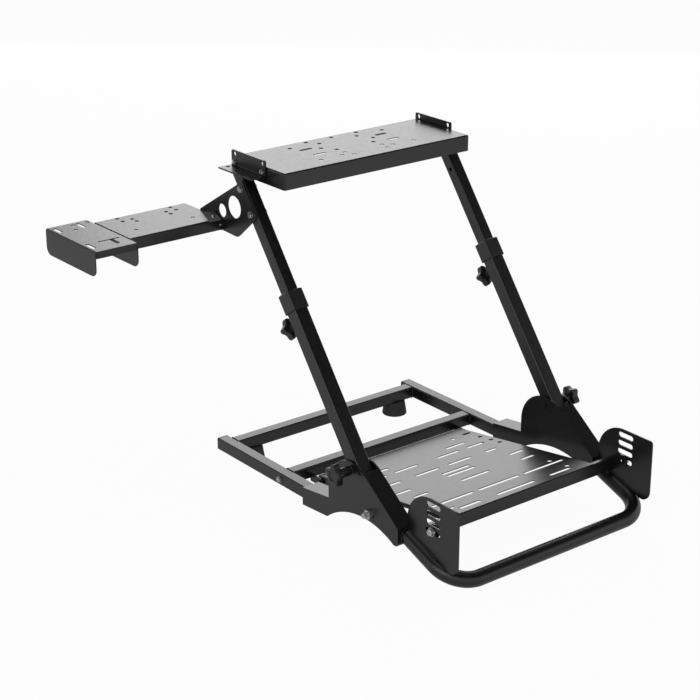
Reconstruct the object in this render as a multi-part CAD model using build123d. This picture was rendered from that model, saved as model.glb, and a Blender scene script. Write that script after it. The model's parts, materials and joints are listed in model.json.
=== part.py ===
from build123d import *
from math import cos, radians, sin, tan
import os

# Racing wheel stand: a folding steel frame that carries a steering wheel, a shifter and a set of pedals.
# X runs across the stand, with the shifter arm on the minus side. Y runs from the front loop to the
# driver's end, and Z is up from the floor. Lengths are in millimetres and angles in degrees.

# Stance of the two uprights, which turn about the pivot bolts in the base brackets
LEAN = 37.0                 # lean from vertical, with the top towards the driver
UPRIGHT_X = 243.0           # middle of each upright from the middle of the stand
PIVOT_Y = 63.0
PIVOT_Z = 83.0

# Square tubes of the uprights and of the base
TUBE_CORNER = 3.0
LOWER_TUBE = 30.0
LOWER_WALL = 2.0
LOWER_BELOW_PIVOT = 14.0
LOWER_ABOVE_PIVOT = 430.0
UPPER_TUBE = 25.0
UPPER_WALL = 1.5
UPPER_OVERLAP = 190.0       # length of upper tube that stays inside the lower one
BASE_TUBE = 25.0
BASE_WALL = 1.5
SLIDE_FIT = 0.3             # gap between the upper tube and the collar

# Collar at the mouth of each lower tube, and the row of height holes in the upper tube
COLLAR_LENGTH = 38.0
COLLAR_WALL = 3.0
COLLAR_LIP = 4.0
COLLAR_EDGE = 1.5
HEIGHT_HOLE = 8.5
HEIGHT_HOLE_STEP = 40.0
HEIGHT_HOLE_COUNT = 4
HEIGHT_KNOB_BELOW_COLLAR = 21.0

# Base brackets, folded from one sheet round each upright's foot
BRACKET_SHEET = 3.0
BRACKET_SIDE_PLAY = 1.0
LOBE_RADIUS = 67.0
LOBE_ABOVE_PIVOT = 15.0
LOBE_BEHIND_PIVOT = 55.0
BRACKET_FRONT_SLOPE = 36.5  # slope of the bracket's front web above the horizontal
BRACKET_NOSE_Y = -16.0
BRACKET_NOSE_Z = 47.0
BRACKET_NOSE_ROUND = 6.0
BRACKET_ARCH_TOP = 67.0     # top of the arch in the bracket's lower edge
TAIL_FRONT_Y = 190.0
TAIL_REAR_Y = 266.0
TAIL_RISE = 6.0             # tail above the rail at the bracket's rear end
TAIL_SLOPE = 7.0            # slope of the tail's top web
TAIL_DROP = 5.0             # tail below the rail
WEB_ON_LOBE = 3.0           # angle that the front web runs on round the lobe
WALL_HOLE = 7.0             # hole in the outer wall
WALL_HOLE_RADIUS = 59.0     # from the lobe's middle
WALL_HOLE_ANGLE = 115.0     # above the +Y direction

# Bolts and star knobs
PIVOT_BOLT = 10.0
RUNNING_FIT = 0.05          # radial gap of a bolt in its hole
NUT_WIDTH = 17.0
NUT_HEIGHT = 7.0
BOLT_END = 9.0              # bolt past its nut
LOCK_ABOVE_PIVOT = 87.0
LOCK_BEHIND_AXIS = 8.0
CLAMP_BOLT = 8.0
CLAMP_NUT_WIDTH = 10.0
CLAMP_NUT_HEIGHT = 3.0
KNOB_RADIUS = 21.5
KNOB_LOBES = 5
KNOB_LOBE_RADIUS = 7.0
KNOB_HEIGHT = 15.0
KNOB_EDGE = 2.5
KNOB_NECK_RADIUS = 9.0
HEIGHT_KNOB_NECK = 18.0
LOCK_KNOB_NECK = 26.0

# Base frame
FOOT_HEIGHT = 28.0
FOOT_RADIUS = 26.5
FOOT_TOP_RADIUS = 22.0
FOOT_EDGE = 2.0
FOOT_X = 187.0
RAIL_REAR_Y = 562.0
RAIL_INSIDE_TAIL = 60.0
REAR_TUBE_Y = 537.0
MIDDLE_TUBE_Y = 352.0
CAP_FLANGE = 2.5
CAP_DEPTH = 10.0
CAP_FIT = 0.1               # gap round the plug

# Front loop, bent flat from one round tube and set on a slope
LOOP_TUBE = 30.0
LOOP_WALL = 2.0
LOOP_X = 239.0
LOOP_FRONT_Y = -145.0
LOOP_SLOPE = 20.0
LOOP_BEND = 58.0

# Slotted side plates that carry the front of the pedal plate
SIDE_SHEET = 3.0
SIDE_FRONT_Y = -153.0
SIDE_TOP_Z = 161.0
SIDE_REAR_ROUND = 62.0
SIDE_FRONT_ROUND = 7.0
SIDE_FOOT_ROUND = 20.0
SLOT_COUNT = 4
SLOT_STEP = 17.0
SLOT_LENGTH = 38.0
SLOT_WIDTH = 10.0
SLOT_Y = -85.5
LOWEST_SLOT_Z = 98.0

# Pedal plate, hinged at its rear edge and bolted to the side plates through its front bar
PEDAL_SLOPE = 8.8
PEDAL_SHEET = 1.5
PEDAL_HALF_WIDTH = 184.0
PEDAL_FLANGE = 20.0
PEDAL_LIP = 8.0             # depth of the wall along the plate's front part
PEDAL_LIP_LENGTH = 235.0
PEDAL_BEND = 4.0
PEDAL_REAR_Y = 320.0
PEDAL_FRONT_Y = -60.0
PEDAL_FRONT_Z = 99.5
PEDAL_BAR_DEPTH = 14.0
PEDAL_BAR_HEIGHT = 25.0
PEDAL_BAR_WALL = 1.5
PEDAL_TAB_SHEET = 3.0
PEDAL_TAB_GAP = 2.0         # from the tab to the side plate
PEDAL_TAB_RADIUS = 13.0
PEDAL_TAB_REACH = 22.7      # bolt in the tab, ahead of the plate's front edge
PEDAL_TAB_DROP = 4.7        # bolt in the tab, below the plate's top
PEDAL_PIN = 8.0
PEDAL_PIN_INSET = 10.0      # pin from the plate's rear edge
PEDAL_PIN_DROP = 11.0       # pin below the plate's top
PEDAL_LUG_SHEET = 3.0
PEDAL_LUG_PLAY = 1.0
PEDAL_SLOT_WIDTH = 9.0
PEDAL_HOLE = 10.0
# Slot rows: distance behind the plate's front edge, then the middle and length of each slot on one side
PEDAL_SLOT_ROWS = (
    (20.0, ((0.0, 94.0), (112.0, 53.0))),
    (66.5, ((0.0, 104.0), (114.0, 102.0))),
    (132.5, ((0.0, 71.0), (134.0, 35.0))),
    (173.0, ((0.0, 71.0), (142.0, 37.0))),
    (189.0, ((0.0, 70.0),)),
    (224.0, ((41.0, 59.0), (122.0, 31.0))),
    (273.5, ((53.5, 58.0), (125.0, 46.0))),
    (303.5, ((99.0, 53.0),)),
    (344.0, ((164.0, 20.0),)),
)
# Round holes on one side: distance from the middle, then distance behind the plate's front edge
PEDAL_HOLES = ((144.0, 33.5), (144.0, 81.0), (125.0, 340.0), (167.0, 306.0), (167.0, 273.0), (167.0, 247.0))

# Wheel deck, a pan folded from one sheet, and the angle brackets that hold it
DECK_WIDTH = 450.0
DECK_DEPTH = 164.0
DECK_DROP = 32.0
DECK_SHEET = 1.5
DECK_CORNER = 4.0
DECK_BEND = 3.5
DECK_REAR_Y = 525.0
DECK_TOP_Z = 643.0
EAR_SHEET = 3.0
EAR_LENGTH = 108.0
EAR_ABOVE_DECK = 13.0
EAR_HEIGHT = 32.5
EAR_LEG = 34.0
EAR_BEND = 3.2
EAR_CORNER = 4.0
EAR_HOLE = 8.5
EAR_HOLE_INSET = 10.0
EAR_HOLE_DROP = 7.0
EAR_BOLT_DROP = 23.0
EAR_LEG_HOLE = 8.5
EAR_LEG_HOLE_OUT = 18.0     # hole in the leg, from the deck's side
DECK_HOLE = 9.0
DECK_SLOT_WIDTH = 8.0
# Round holes on one side: distance from the middle, then distance behind the deck's front edge
DECK_HOLES = (
    (113.0, 36.0), (62.0, 38.0), (40.0, 28.0), (45.0, 50.0), (45.0, 76.0),
    (64.0, 101.0), (46.0, 130.0), (113.0, 135.0), (62.0, 152.0), (0.0, 152.0),
)
# Slots on one side: middle of the slot from the middle of the deck, then distance behind the front edge
DECK_SLOTS = ((90.0, 71.0), (92.0, 112.0))
DECK_SLOT_LENGTH = 29.0

# Shifter gusset, bolted to the left upper tube
GUSSET_SHEET = 3.0
GUSSET_BOLT = 8.5
GUSSET_BOLT_MARGIN = 13.0
GUSSET_BOLT_DROP = 30.0     # upper bolt from the tube's end, along the tube
GUSSET_BOLT_STEP = 52.0
GUSSET_ROUND = 16.0
GUSSET_LARGE_HOLE = 43.0
GUSSET_SMALL_HOLE = 26.0
# Corners and windows of the gusset: distance behind its upper bolt, then distance below it
GUSSET_TAIL = (139.0, 70.5)
GUSSET_SEAT = (139.0, 94.5)
GUSSET_FOOT = (14.0, 97.5)
GUSSET_LARGE = (24.0, 40.5)
GUSSET_SMALL = (64.0, 56.5)

# Shifter arm, a folded channel
ARM_SHEET = 2.0
ARM_BEND = 3.5
ARM_DROP = 22.5
ARM_FRONT = (67.0, 73.0)    # top of the arm's front edge, behind and below the gusset's upper bolt
ARM_WIDTH = 129.0
ARM_LENGTH = 205.0
ARM_NOTCH_X = 28.0
ARM_NOTCH_Y = 73.0
ARM_END_SHEET = 3.0
ARM_END_BOLTS = ((89.0, 73.5), (67.0, 84.5))    # behind and below the gusset's upper bolt
ARM_END_BOLT = 6.5
ARM_END_MARGIN = 11.0
ARM_END_GAP = 3.5           # between the arm's top and the tray
ARM_END_DROP = 5.0          # outer end plate below the arm's top
ARM_HOLE = 8.5
# Holes along the arm: distance from its outer end, then distance behind its front edge
ARM_HOLES = (
    (48.0, 120.0), (48.0, 100.0), (70.0, 101.0), (70.0, 85.0), (40.0, 39.0),
    (168.0, 120.0), (168.0, 100.0), (146.0, 101.0), (146.0, 85.0), (166.0, 39.0),
)

# Shifter tray at the end of the arm
TRAY_SHEET = 2.0
TRAY_BEND = 4.0
TRAY_WIDTH = 91.0
TRAY_LENGTH = 177.0
TRAY_AHEAD = 31.0           # tray's front edge ahead of the arm's
TRAY_DROP = 49.0
TRAY_ABOVE_ARM = 1.5
TRAY_FLANGE_ROUND = 15.0
TRAY_LIP = 14.0
TRAY_SLOT_WIDTH = 8.0
TRAY_SLOT_LENGTH = 30.0
TRAY_LINE_WIDTH = 4.0
TRAY_LINE_LENGTH = 46.0
TRAY_HOLE = 8.5
# Places in the tray: distance from its outer edge, then distance behind its front edge
TRAY_SLOTS = ((12.0, 34.0), (62.0, 34.0), (12.0, 153.0), (62.0, 153.0))
TRAY_LINE = (58.0, 48.0)
TRAY_HOLES = ((41.0, 136.0), (51.0, 163.0), (82.0, 164.0))

# Places worked out from the sizes above
BRACKET_GAP = LOWER_TUBE + 2 * BRACKET_SIDE_PLAY
BRACKET_INNER = UPRIGHT_X - BRACKET_GAP / 2
BRACKET_WIDTH = BRACKET_GAP + 2 * BRACKET_SHEET
RAIL_X = BRACKET_INNER + BASE_TUBE / 2
RAIL_Z = FOOT_HEIGHT + BASE_TUBE / 2
RAIL_TOP = FOOT_HEIGHT + BASE_TUBE
RAIL_FRONT_Y = TAIL_REAR_Y - RAIL_INSIDE_TAIL
LOBE_Y = PIVOT_Y + LOBE_BEHIND_PIVOT
LOBE_Z = PIVOT_Z + LOBE_ABOVE_PIVOT
SIDES = (("left", -1), ("right", 1))


def upright_frame(side):
    """Frame on the pivot of one upright: local Z runs up the tube and local Y points to the driver."""
    lean = radians(LEAN)
    pivot = (side * UPRIGHT_X, PIVOT_Y, PIVOT_Z)
    return Plane(origin=pivot, x_dir=(1, 0, 0), z_dir=(0, sin(lean), cos(lean)))


def along_upright(distance):
    """Y and Z of a point on the upright's axis, at a distance from the pivot."""
    lean = radians(LEAN)
    return PIVOT_Y + distance * sin(lean), PIVOT_Z + distance * cos(lean)


def side_sheet(outline, x_start, thickness):
    """A flat sheet in a plane across X: the outline is drawn in Y and Z."""
    return extrude(Plane.YZ.offset(x_start) * outline, thickness, dir=(1, 0, 0))


def square_tube(size, wall, length):
    """A square tube that stands on the XY plane."""
    bore = size - 2 * wall
    section = RectangleRounded(size, size, TUBE_CORNER)
    section -= RectangleRounded(bore, bore, TUBE_CORNER - wall / 2)
    return extrude(section, length)


def cross_pin(radius, x_start, x_end, y, z):
    """A round bar along X."""
    bar = Cylinder(radius, x_end - x_start, align=(Align.CENTER, Align.CENTER, Align.MIN))
    return Pos(x_start, y, z) * Rot(0, 90, 0) * bar


def rear_pin(radius, reach, along):
    """A round bar in an upright's frame, from the tube's axis towards the driver."""
    bar = Cylinder(radius, reach, align=(Align.CENTER, Align.CENTER, Align.MIN))
    return Pos(0, 0, along) * Rot(-90, 0, 0) * bar


def hex_bar(width, x_start, x_end, y, z):
    """A hexagon bar along X, for nuts and bolt heads."""
    section = Pos(y, z) * RegularPolygon(width / 2, 6, major_radius=False)
    return side_sheet(section, x_start, x_end - x_start)


def star_knob(neck_length):
    """A star knob that stands on the XY plane: the neck first, then the lobed grip."""
    lobes = PolarLocations(KNOB_RADIUS - KNOB_LOBE_RADIUS, KNOB_LOBES) * Circle(KNOB_LOBE_RADIUS)
    grip = extrude(Circle(KNOB_RADIUS - KNOB_LOBE_RADIUS) + lobes, KNOB_HEIGHT)
    grip = chamfer(grip.faces().sort_by(Axis.Z)[-1].edges(), KNOB_EDGE)
    neck = Cylinder(KNOB_NECK_RADIUS, neck_length, align=(Align.CENTER, Align.CENTER, Align.MIN))
    return neck + Pos(0, 0, neck_length) * grip


def pan(width, depth, drop, sheet, corner, bend):
    """A sheet folded down on all four sides, with its top on the XY plane."""
    shell = Box(width, depth, drop, align=(Align.CENTER, Align.CENTER, Align.MAX))
    shell = fillet(shell.edges().filter_by(Axis.Z), corner)
    shell = fillet(shell.faces().sort_by(Axis.Z)[-1].edges(), bend)
    inner_width = width - 2 * sheet
    inner_depth = depth - 2 * sheet
    inside = Box(inner_width, inner_depth, drop, align=(Align.CENTER, Align.CENTER, Align.MAX))
    return shell - Pos(0, 0, -sheet) * inside


def angle_profile(leg, height, sheet, bend):
    """Section of a folded angle: its leg along X and its wall along Y, with the bend at the origin."""
    corners = ((0, 0), (leg, 0), (leg, sheet), (sheet, sheet), (sheet, height), (0, height))
    outline = Polygon(*corners, align=None)
    outline = fillet(outline.vertices().sort_by_distance((0, 0, 0))[0], bend)
    return fillet(outline.vertices().sort_by_distance((sheet, sheet, 0))[0], bend - sheet / 2)


def channel_profile(width, drop, sheet, bend):
    """Section of a folded channel: its back on the X axis and its two walls hanging down."""
    half = width / 2
    inside = half - sheet
    outer = Polygon((half, 0), (-half, 0), (-half, -drop), (half, -drop), align=None)
    outer = fillet(outer.vertices().group_by(Axis.Y)[-1], bend)
    inner = Polygon((inside, -sheet), (-inside, -sheet), (-inside, -drop), (inside, -drop), align=None)
    return outer - fillet(inner.vertices().group_by(Axis.Y)[-1], bend - sheet / 2)


def on_lobe(radius, angle):
    """Y and Z of a point on a circle about the lobe's middle, at an angle above the +Y direction."""
    return LOBE_Y + radius * cos(radians(angle)), LOBE_Z + radius * sin(radians(angle))


def front_slope_at(y, radius):
    """Height at y of the sloping front line that touches a circle about the lobe's middle."""
    tangent_y, tangent_z = on_lobe(radius, 90 + BRACKET_FRONT_SLOPE)
    return tangent_z - (tangent_y - y) * tan(radians(BRACKET_FRONT_SLOPE))


def bracket_outline():
    """Side view of a base bracket: a tail on the rail, a round lobe and a sloping front."""
    touch = 90 + BRACKET_FRONT_SLOPE
    nose_top = (BRACKET_NOSE_Y, front_slope_at(BRACKET_NOSE_Y, LOBE_RADIUS))
    nose_low = (BRACKET_NOSE_Y, BRACKET_NOSE_Z)
    arch_start = (BRACKET_NOSE_Y + 2 * BRACKET_NOSE_ROUND, BRACKET_NOSE_Z)
    arch_middle = ((arch_start[0] + TAIL_FRONT_Y) / 2, BRACKET_ARCH_TOP)
    tail_low_front = (TAIL_FRONT_Y, FOOT_HEIGHT)
    tail_low_rear = (TAIL_REAR_Y, FOOT_HEIGHT - TAIL_DROP)
    tail_top_rear = (TAIL_REAR_Y, RAIL_TOP + TAIL_RISE)
    tail_run = TAIL_REAR_Y - LOBE_Y - LOBE_RADIUS
    tail_top_front = (TAIL_REAR_Y - tail_run, tail_top_rear[1] + tail_run * tan(radians(TAIL_SLOPE)))
    lobe_start = on_lobe(LOBE_RADIUS, 0)
    lobe_end = on_lobe(LOBE_RADIUS, touch)
    edges = [
        Line(nose_top, nose_low),
        Line(nose_low, arch_start),
        ThreePointArc(arch_start, arch_middle, tail_low_front),
        Line(tail_low_front, tail_low_rear),
        Line(tail_low_rear, tail_top_rear),
        Line(tail_top_rear, tail_top_front),
        Line(tail_top_front, lobe_start),
        ThreePointArc(lobe_start, on_lobe(LOBE_RADIUS, touch / 2), lobe_end),
        Line(lobe_end, nose_top),
    ]
    face = make_face(edges)
    return fillet(face.vertices().sort_by_distance((*nose_low, 0))[0], BRACKET_NOSE_ROUND)


def bracket_hollow():
    """Side view of the space inside a bracket, which leaves the front web and the tail's top web."""
    inner = LOBE_RADIUS - BRACKET_SHEET
    touch = 90 + BRACKET_FRONT_SLOPE
    lip = touch - WEB_ON_LOBE
    nose_y = BRACKET_NOSE_Y + BRACKET_SHEET
    nose_top = (nose_y, front_slope_at(nose_y, inner))
    lip_end = on_lobe(inner, lip)
    clear_top = LOBE_Z + 2 * LOBE_RADIUS
    web_y = LOBE_Y + LOBE_RADIUS + BRACKET_SHEET
    beyond = TAIL_REAR_Y + BRACKET_SHEET
    web_rear_z = RAIL_TOP + TAIL_RISE - BRACKET_SHEET
    web_front_z = web_rear_z + (beyond - web_y) * tan(radians(TAIL_SLOPE))
    edges = [
        Line((nose_y, 0), nose_top),
        Line(nose_top, on_lobe(inner, touch)),
        ThreePointArc(on_lobe(inner, touch), on_lobe(inner, (lip + touch) / 2), lip_end),
        Line(lip_end, (lip_end[0], clear_top)),
        Line((lip_end[0], clear_top), (web_y, clear_top)),
        Line((web_y, clear_top), (web_y, web_front_z)),
        Line((web_y, web_front_z), (beyond, web_rear_z)),
        Line((beyond, web_rear_z), (beyond, 0)),
        Line((beyond, 0), (nose_y, 0)),
    ]
    return make_face(edges)


def lock_place():
    """Y and Z of the lock bolt, a little behind the upright's axis."""
    lean = radians(LEAN)
    y, z = along_upright(LOCK_ABOVE_PIVOT)
    return y + LOCK_BEHIND_AXIS * cos(lean), z - LOCK_BEHIND_AXIS * sin(lean)


def base_bracket(side):
    """A base bracket: two side walls joined by a front web, open towards the driver."""
    x_low = side * UPRIGHT_X - BRACKET_WIDTH / 2
    solid = side_sheet(bracket_outline(), x_low, BRACKET_WIDTH)
    solid -= side_sheet(bracket_hollow(), x_low + BRACKET_SHEET, BRACKET_GAP)
    inside, outside = side * BRACKET_INNER, side * (UPRIGHT_X + BRACKET_WIDTH / 2)
    pivot_low, pivot_high = sorted((inside, outside))
    solid -= cross_pin(PIVOT_BOLT / 2 + RUNNING_FIT, pivot_low, pivot_high, PIVOT_Y, PIVOT_Z)
    solid -= cross_pin(CLAMP_BOLT / 2 + RUNNING_FIT, x_low, x_low + BRACKET_WIDTH, *lock_place())
    hole_low, hole_high = sorted((side * (UPRIGHT_X + BRACKET_GAP / 2), outside))
    hole = on_lobe(WALL_HOLE_RADIUS, WALL_HOLE_ANGLE)
    return solid - cross_pin(WALL_HOLE / 2, hole_low, hole_high, *hole)


def pivot_bolt(side):
    """The stud that an upright turns on, from the inner wall of a bracket to its nut outside."""
    wall = side * BRACKET_INNER
    nut = side * (UPRIGHT_X + BRACKET_WIDTH / 2)
    low, high = sorted((wall, nut + side * (NUT_HEIGHT + BOLT_END)))
    nut_low, nut_high = sorted((nut, nut + side * NUT_HEIGHT))
    stud = cross_pin(PIVOT_BOLT / 2, low, high, PIVOT_Y, PIVOT_Z)
    return stud + hex_bar(NUT_WIDTH, nut_low, nut_high, PIVOT_Y, PIVOT_Z)


def lock_knob(side):
    """The star knob outside a bracket, which holds the upright at its lean."""
    y, z = lock_place()
    seat = side * (UPRIGHT_X + BRACKET_WIDTH / 2)
    return Pos(seat, y, z) * Rot(0, side * 90, 0) * star_knob(LOCK_KNOB_NECK)


def lock_bolt_head(side):
    """Head of the lock knob's bolt on the inner wall of a bracket, with its shank through the wall."""
    y, z = lock_place()
    face = side * (UPRIGHT_X - BRACKET_WIDTH / 2)
    low, high = sorted((face, face - side * CLAMP_NUT_HEIGHT))
    shank_low, shank_high = sorted((face, face + side * BRACKET_SHEET))
    head = hex_bar(CLAMP_NUT_WIDTH, low, high, y, z)
    return head + cross_pin(CLAMP_BOLT / 2, shank_low, shank_high, y, z)


def rail(side):
    """A floor rail from the bracket's tail to the driver's end."""
    tube = square_tube(BASE_TUBE, BASE_WALL, RAIL_REAR_Y - RAIL_FRONT_Y)
    return Pos(side * RAIL_X, RAIL_FRONT_Y, RAIL_Z) * Rot(-90, 0, 0) * tube


def rail_cap(side):
    """A plastic plug in the rear end of a rail."""
    bore = BASE_TUBE - 2 * BASE_WALL - 2 * CAP_FIT
    flange = extrude(RectangleRounded(BASE_TUBE, BASE_TUBE, TUBE_CORNER), CAP_FLANGE)
    plug = extrude(RectangleRounded(bore, bore, TUBE_CORNER - BASE_WALL / 2), -CAP_DEPTH)
    return Pos(side * RAIL_X, RAIL_REAR_Y, RAIL_Z) * Rot(-90, 0, 0) * (flange + plug)


def cross_tube(y):
    """A tube across the base between the two rails."""
    half = RAIL_X - BASE_TUBE / 2
    tube = square_tube(BASE_TUBE, BASE_WALL, 2 * half)
    return Pos(-half, y, RAIL_Z) * Rot(0, 90, 0) * tube


def rubber_foot(side):
    """A tapered rubber foot under the rear cross tube."""
    foot = Cone(FOOT_RADIUS, FOOT_TOP_RADIUS, FOOT_HEIGHT, align=(Align.CENTER, Align.CENTER, Align.MIN))
    foot = fillet(foot.edges().sort_by(Axis.Z)[0], FOOT_EDGE)
    return Pos(side * FOOT_X, REAR_TUBE_Y, 0) * foot


def loop_frame():
    """Frame of the front loop: local X across the stand and local Y up the slope, on the tube's axis."""
    slope = radians(LOOP_SLOPE)
    middle = (0, LOOP_FRONT_Y, LOOP_TUBE / 2)
    return Plane(origin=middle, x_dir=(1, 0, 0), z_dir=(0, -sin(slope), cos(slope)))


def front_loop():
    """The round tube that runs from one bracket along the floor to the other."""
    leg = (BRACKET_NOSE_Y - LOOP_FRONT_Y) / cos(radians(LOOP_SLOPE)) + LOOP_TUBE
    frame = loop_frame()
    path = FilletPolyline((-LOOP_X, leg), (-LOOP_X, 0), (LOOP_X, 0), (LOOP_X, leg), radius=LOOP_BEND)
    path = frame * path
    start = Plane(origin=path @ 0, z_dir=path % 0)
    tube = sweep(start * Circle(LOOP_TUBE / 2), path)
    tube -= sweep(start * Circle(LOOP_TUBE / 2 - LOOP_WALL), path)
    return split(tube, bisect_by=Plane.XZ.offset(-BRACKET_NOSE_Y), keep=Keep.TOP)


def side_plate_outline():
    """Side view of a slotted side plate, whose lower edge lies along the loop's leg."""
    slope = tan(radians(LOOP_SLOPE))
    crest = LOOP_TUBE / 2 + LOOP_TUBE / 2 / cos(radians(LOOP_SLOPE))
    rear = (BRACKET_NOSE_Y, crest + (BRACKET_NOSE_Y - LOOP_FRONT_Y) * slope)
    front = (SIDE_FRONT_Y, crest + (SIDE_FRONT_Y - LOOP_FRONT_Y) * slope)
    outline = Polygon(rear, front, (SIDE_FRONT_Y, SIDE_TOP_Z), (BRACKET_NOSE_Y, SIDE_TOP_Z), align=None)
    for corner, radius in (
        ((BRACKET_NOSE_Y, SIDE_TOP_Z), SIDE_REAR_ROUND),
        ((SIDE_FRONT_Y, SIDE_TOP_Z), SIDE_FRONT_ROUND),
        (front, SIDE_FOOT_ROUND),
    ):
        outline = fillet(outline.vertices().sort_by_distance((*corner, 0))[0], radius)
    return outline


def side_plate(side):
    """A side plate with the row of slots that sets the height of the pedal plate."""
    x_low = side * LOOP_X - SIDE_SHEET / 2
    outline = side_plate_outline()
    for row in range(SLOT_COUNT):
        outline -= Pos(SLOT_Y, LOWEST_SLOT_Z + row * SLOT_STEP) * SlotOverall(SLOT_LENGTH, SLOT_WIDTH)
    return side_sheet(outline, x_low, SIDE_SHEET)


def pedal_frame():
    """Frame of the pedal plate: local Y runs back from its front edge and Z is out of the plate."""
    slope = radians(PEDAL_SLOPE)
    corner = (0, PEDAL_FRONT_Y, PEDAL_FRONT_Z)
    return Plane(origin=corner, x_dir=(1, 0, 0), z_dir=(0, sin(slope), cos(slope)))


def pedal_length():
    """Length of the pedal plate down its slope."""
    return (PEDAL_REAR_Y - PEDAL_FRONT_Y) / cos(radians(PEDAL_SLOPE))


def pedal_plate():
    """The slotted pedal plate, a channel with its walls folded down and its front over the bar."""
    length = pedal_length() - PEDAL_BAR_DEPTH
    width = 2 * PEDAL_HALF_WIDTH
    profile = channel_profile(width, PEDAL_FLANGE, PEDAL_SHEET, PEDAL_BEND)
    plate = Pos(0, PEDAL_BAR_DEPTH + length, 0) * extrude(Plane.XZ * profile, length)
    over_bar = Rectangle(width - 2 * PEDAL_BEND, PEDAL_BAR_DEPTH, align=(Align.CENTER, Align.MIN))
    plate += extrude(over_bar, -PEDAL_SHEET)
    relief = Box(width, PEDAL_LIP_LENGTH, PEDAL_FLANGE, align=(Align.CENTER, Align.MIN, Align.MAX))
    plate -= Pos(0, 0, -PEDAL_LIP) * relief
    cuts = Sketch()
    for behind, slots in PEDAL_SLOT_ROWS:
        for middle, span in slots:
            for x in {middle, -middle}:
                cuts += Pos(x, behind) * SlotOverall(span, PEDAL_SLOT_WIDTH)
    for middle, behind in PEDAL_HOLES:
        for x in (middle, -middle):
            cuts += Pos(x, behind) * Circle(PEDAL_HOLE / 2)
    plate -= extrude(cuts, -2 * PEDAL_SHEET)
    pin_y = pedal_length() - PEDAL_PIN_INSET
    pin_radius = PEDAL_PIN / 2 + RUNNING_FIT
    plate -= cross_pin(pin_radius, -PEDAL_HALF_WIDTH, PEDAL_HALF_WIDTH, pin_y, -PEDAL_PIN_DROP)
    return pedal_frame() * plate


def pedal_bar():
    """The tube under the front of the pedal plate, with a bolting tab at each end."""
    half = LOOP_X - SIDE_SHEET / 2 - PEDAL_TAB_GAP - PEDAL_TAB_SHEET
    bore_depth = PEDAL_BAR_DEPTH - 2 * PEDAL_BAR_WALL
    bore_height = PEDAL_BAR_HEIGHT - 2 * PEDAL_BAR_WALL
    section = RectangleRounded(PEDAL_BAR_DEPTH, PEDAL_BAR_HEIGHT, TUBE_CORNER)
    section -= RectangleRounded(bore_depth, bore_height, TUBE_CORNER - PEDAL_BAR_WALL / 2)
    middle = (PEDAL_BAR_DEPTH / 2, -PEDAL_SHEET - PEDAL_BAR_HEIGHT / 2)
    bar = side_sheet(Pos(*middle) * section, -half, 2 * half)
    eye = (-PEDAL_TAB_REACH, -PEDAL_TAB_DROP)
    tab = make_hull(
        (Pos(*eye) * Circle(PEDAL_TAB_RADIUS)).edges()
        + (Pos(*middle) * RectangleRounded(PEDAL_BAR_DEPTH, PEDAL_BAR_HEIGHT, TUBE_CORNER)).edges()
    )
    tab -= Pos(*eye) * Circle(CLAMP_BOLT / 2 + RUNNING_FIT)
    for x_low in (-half - PEDAL_TAB_SHEET, half):
        bar += side_sheet(tab, x_low, PEDAL_TAB_SHEET)
    return pedal_frame() * bar


def pedal_pivot():
    """Y and Z of the pin that the pedal plate turns on."""
    point = pedal_frame() * Pos(0, pedal_length() - PEDAL_PIN_INSET, -PEDAL_PIN_DROP)
    return point.position.Y, point.position.Z


def pedal_lug(side):
    """A lug on the middle cross tube with the pin that carries the rear of the pedal plate."""
    y, z = pedal_pivot()
    face = MIDDLE_TUBE_Y - BASE_TUBE / 2
    x_near = side * (PEDAL_HALF_WIDTH + PEDAL_LUG_PLAY)
    x_far = x_near + side * PEDAL_LUG_SHEET
    low, high = sorted((x_near, x_far))
    lug = make_hull(
        (Pos(y, z) * Circle(PEDAL_PIN)).edges()
        + (Pos(face - PEDAL_LUG_SHEET / 2, z) * Rectangle(PEDAL_LUG_SHEET, 2 * PEDAL_PIN)).edges()
    )
    pin_ends = (x_far + side * PEDAL_LUG_SHEET, side * (PEDAL_HALF_WIDTH - 2 * PEDAL_SHEET))
    pin_low, pin_high = sorted(pin_ends)
    return side_sheet(lug, low, high - low) + cross_pin(PEDAL_PIN / 2, pin_low, pin_high, y, z)


def lower_tube(side):
    """The lower tube of an upright, with the pivot hole and the hole for its height knob."""
    tube = square_tube(LOWER_TUBE, LOWER_WALL, LOWER_BELOW_PIVOT + LOWER_ABOVE_PIVOT)
    tube = Pos(0, 0, -LOWER_BELOW_PIVOT) * tube
    tube -= cross_pin(PIVOT_BOLT / 2 + RUNNING_FIT, -LOWER_TUBE, LOWER_TUBE, 0, 0)
    clamp_hole = CLAMP_BOLT / 2 + RUNNING_FIT
    tube -= cross_pin(clamp_hole, -LOWER_TUBE, LOWER_TUBE, LOCK_BEHIND_AXIS, LOCK_ABOVE_PIVOT)
    tube -= rear_pin(clamp_hole, LOWER_TUBE, height_knob_place())
    return upright_frame(side) * tube


def height_knob_place():
    """Distance of the height knob from the pivot."""
    return LOWER_ABOVE_PIVOT - COLLAR_LENGTH + COLLAR_LIP - HEIGHT_KNOB_BELOW_COLLAR


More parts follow.
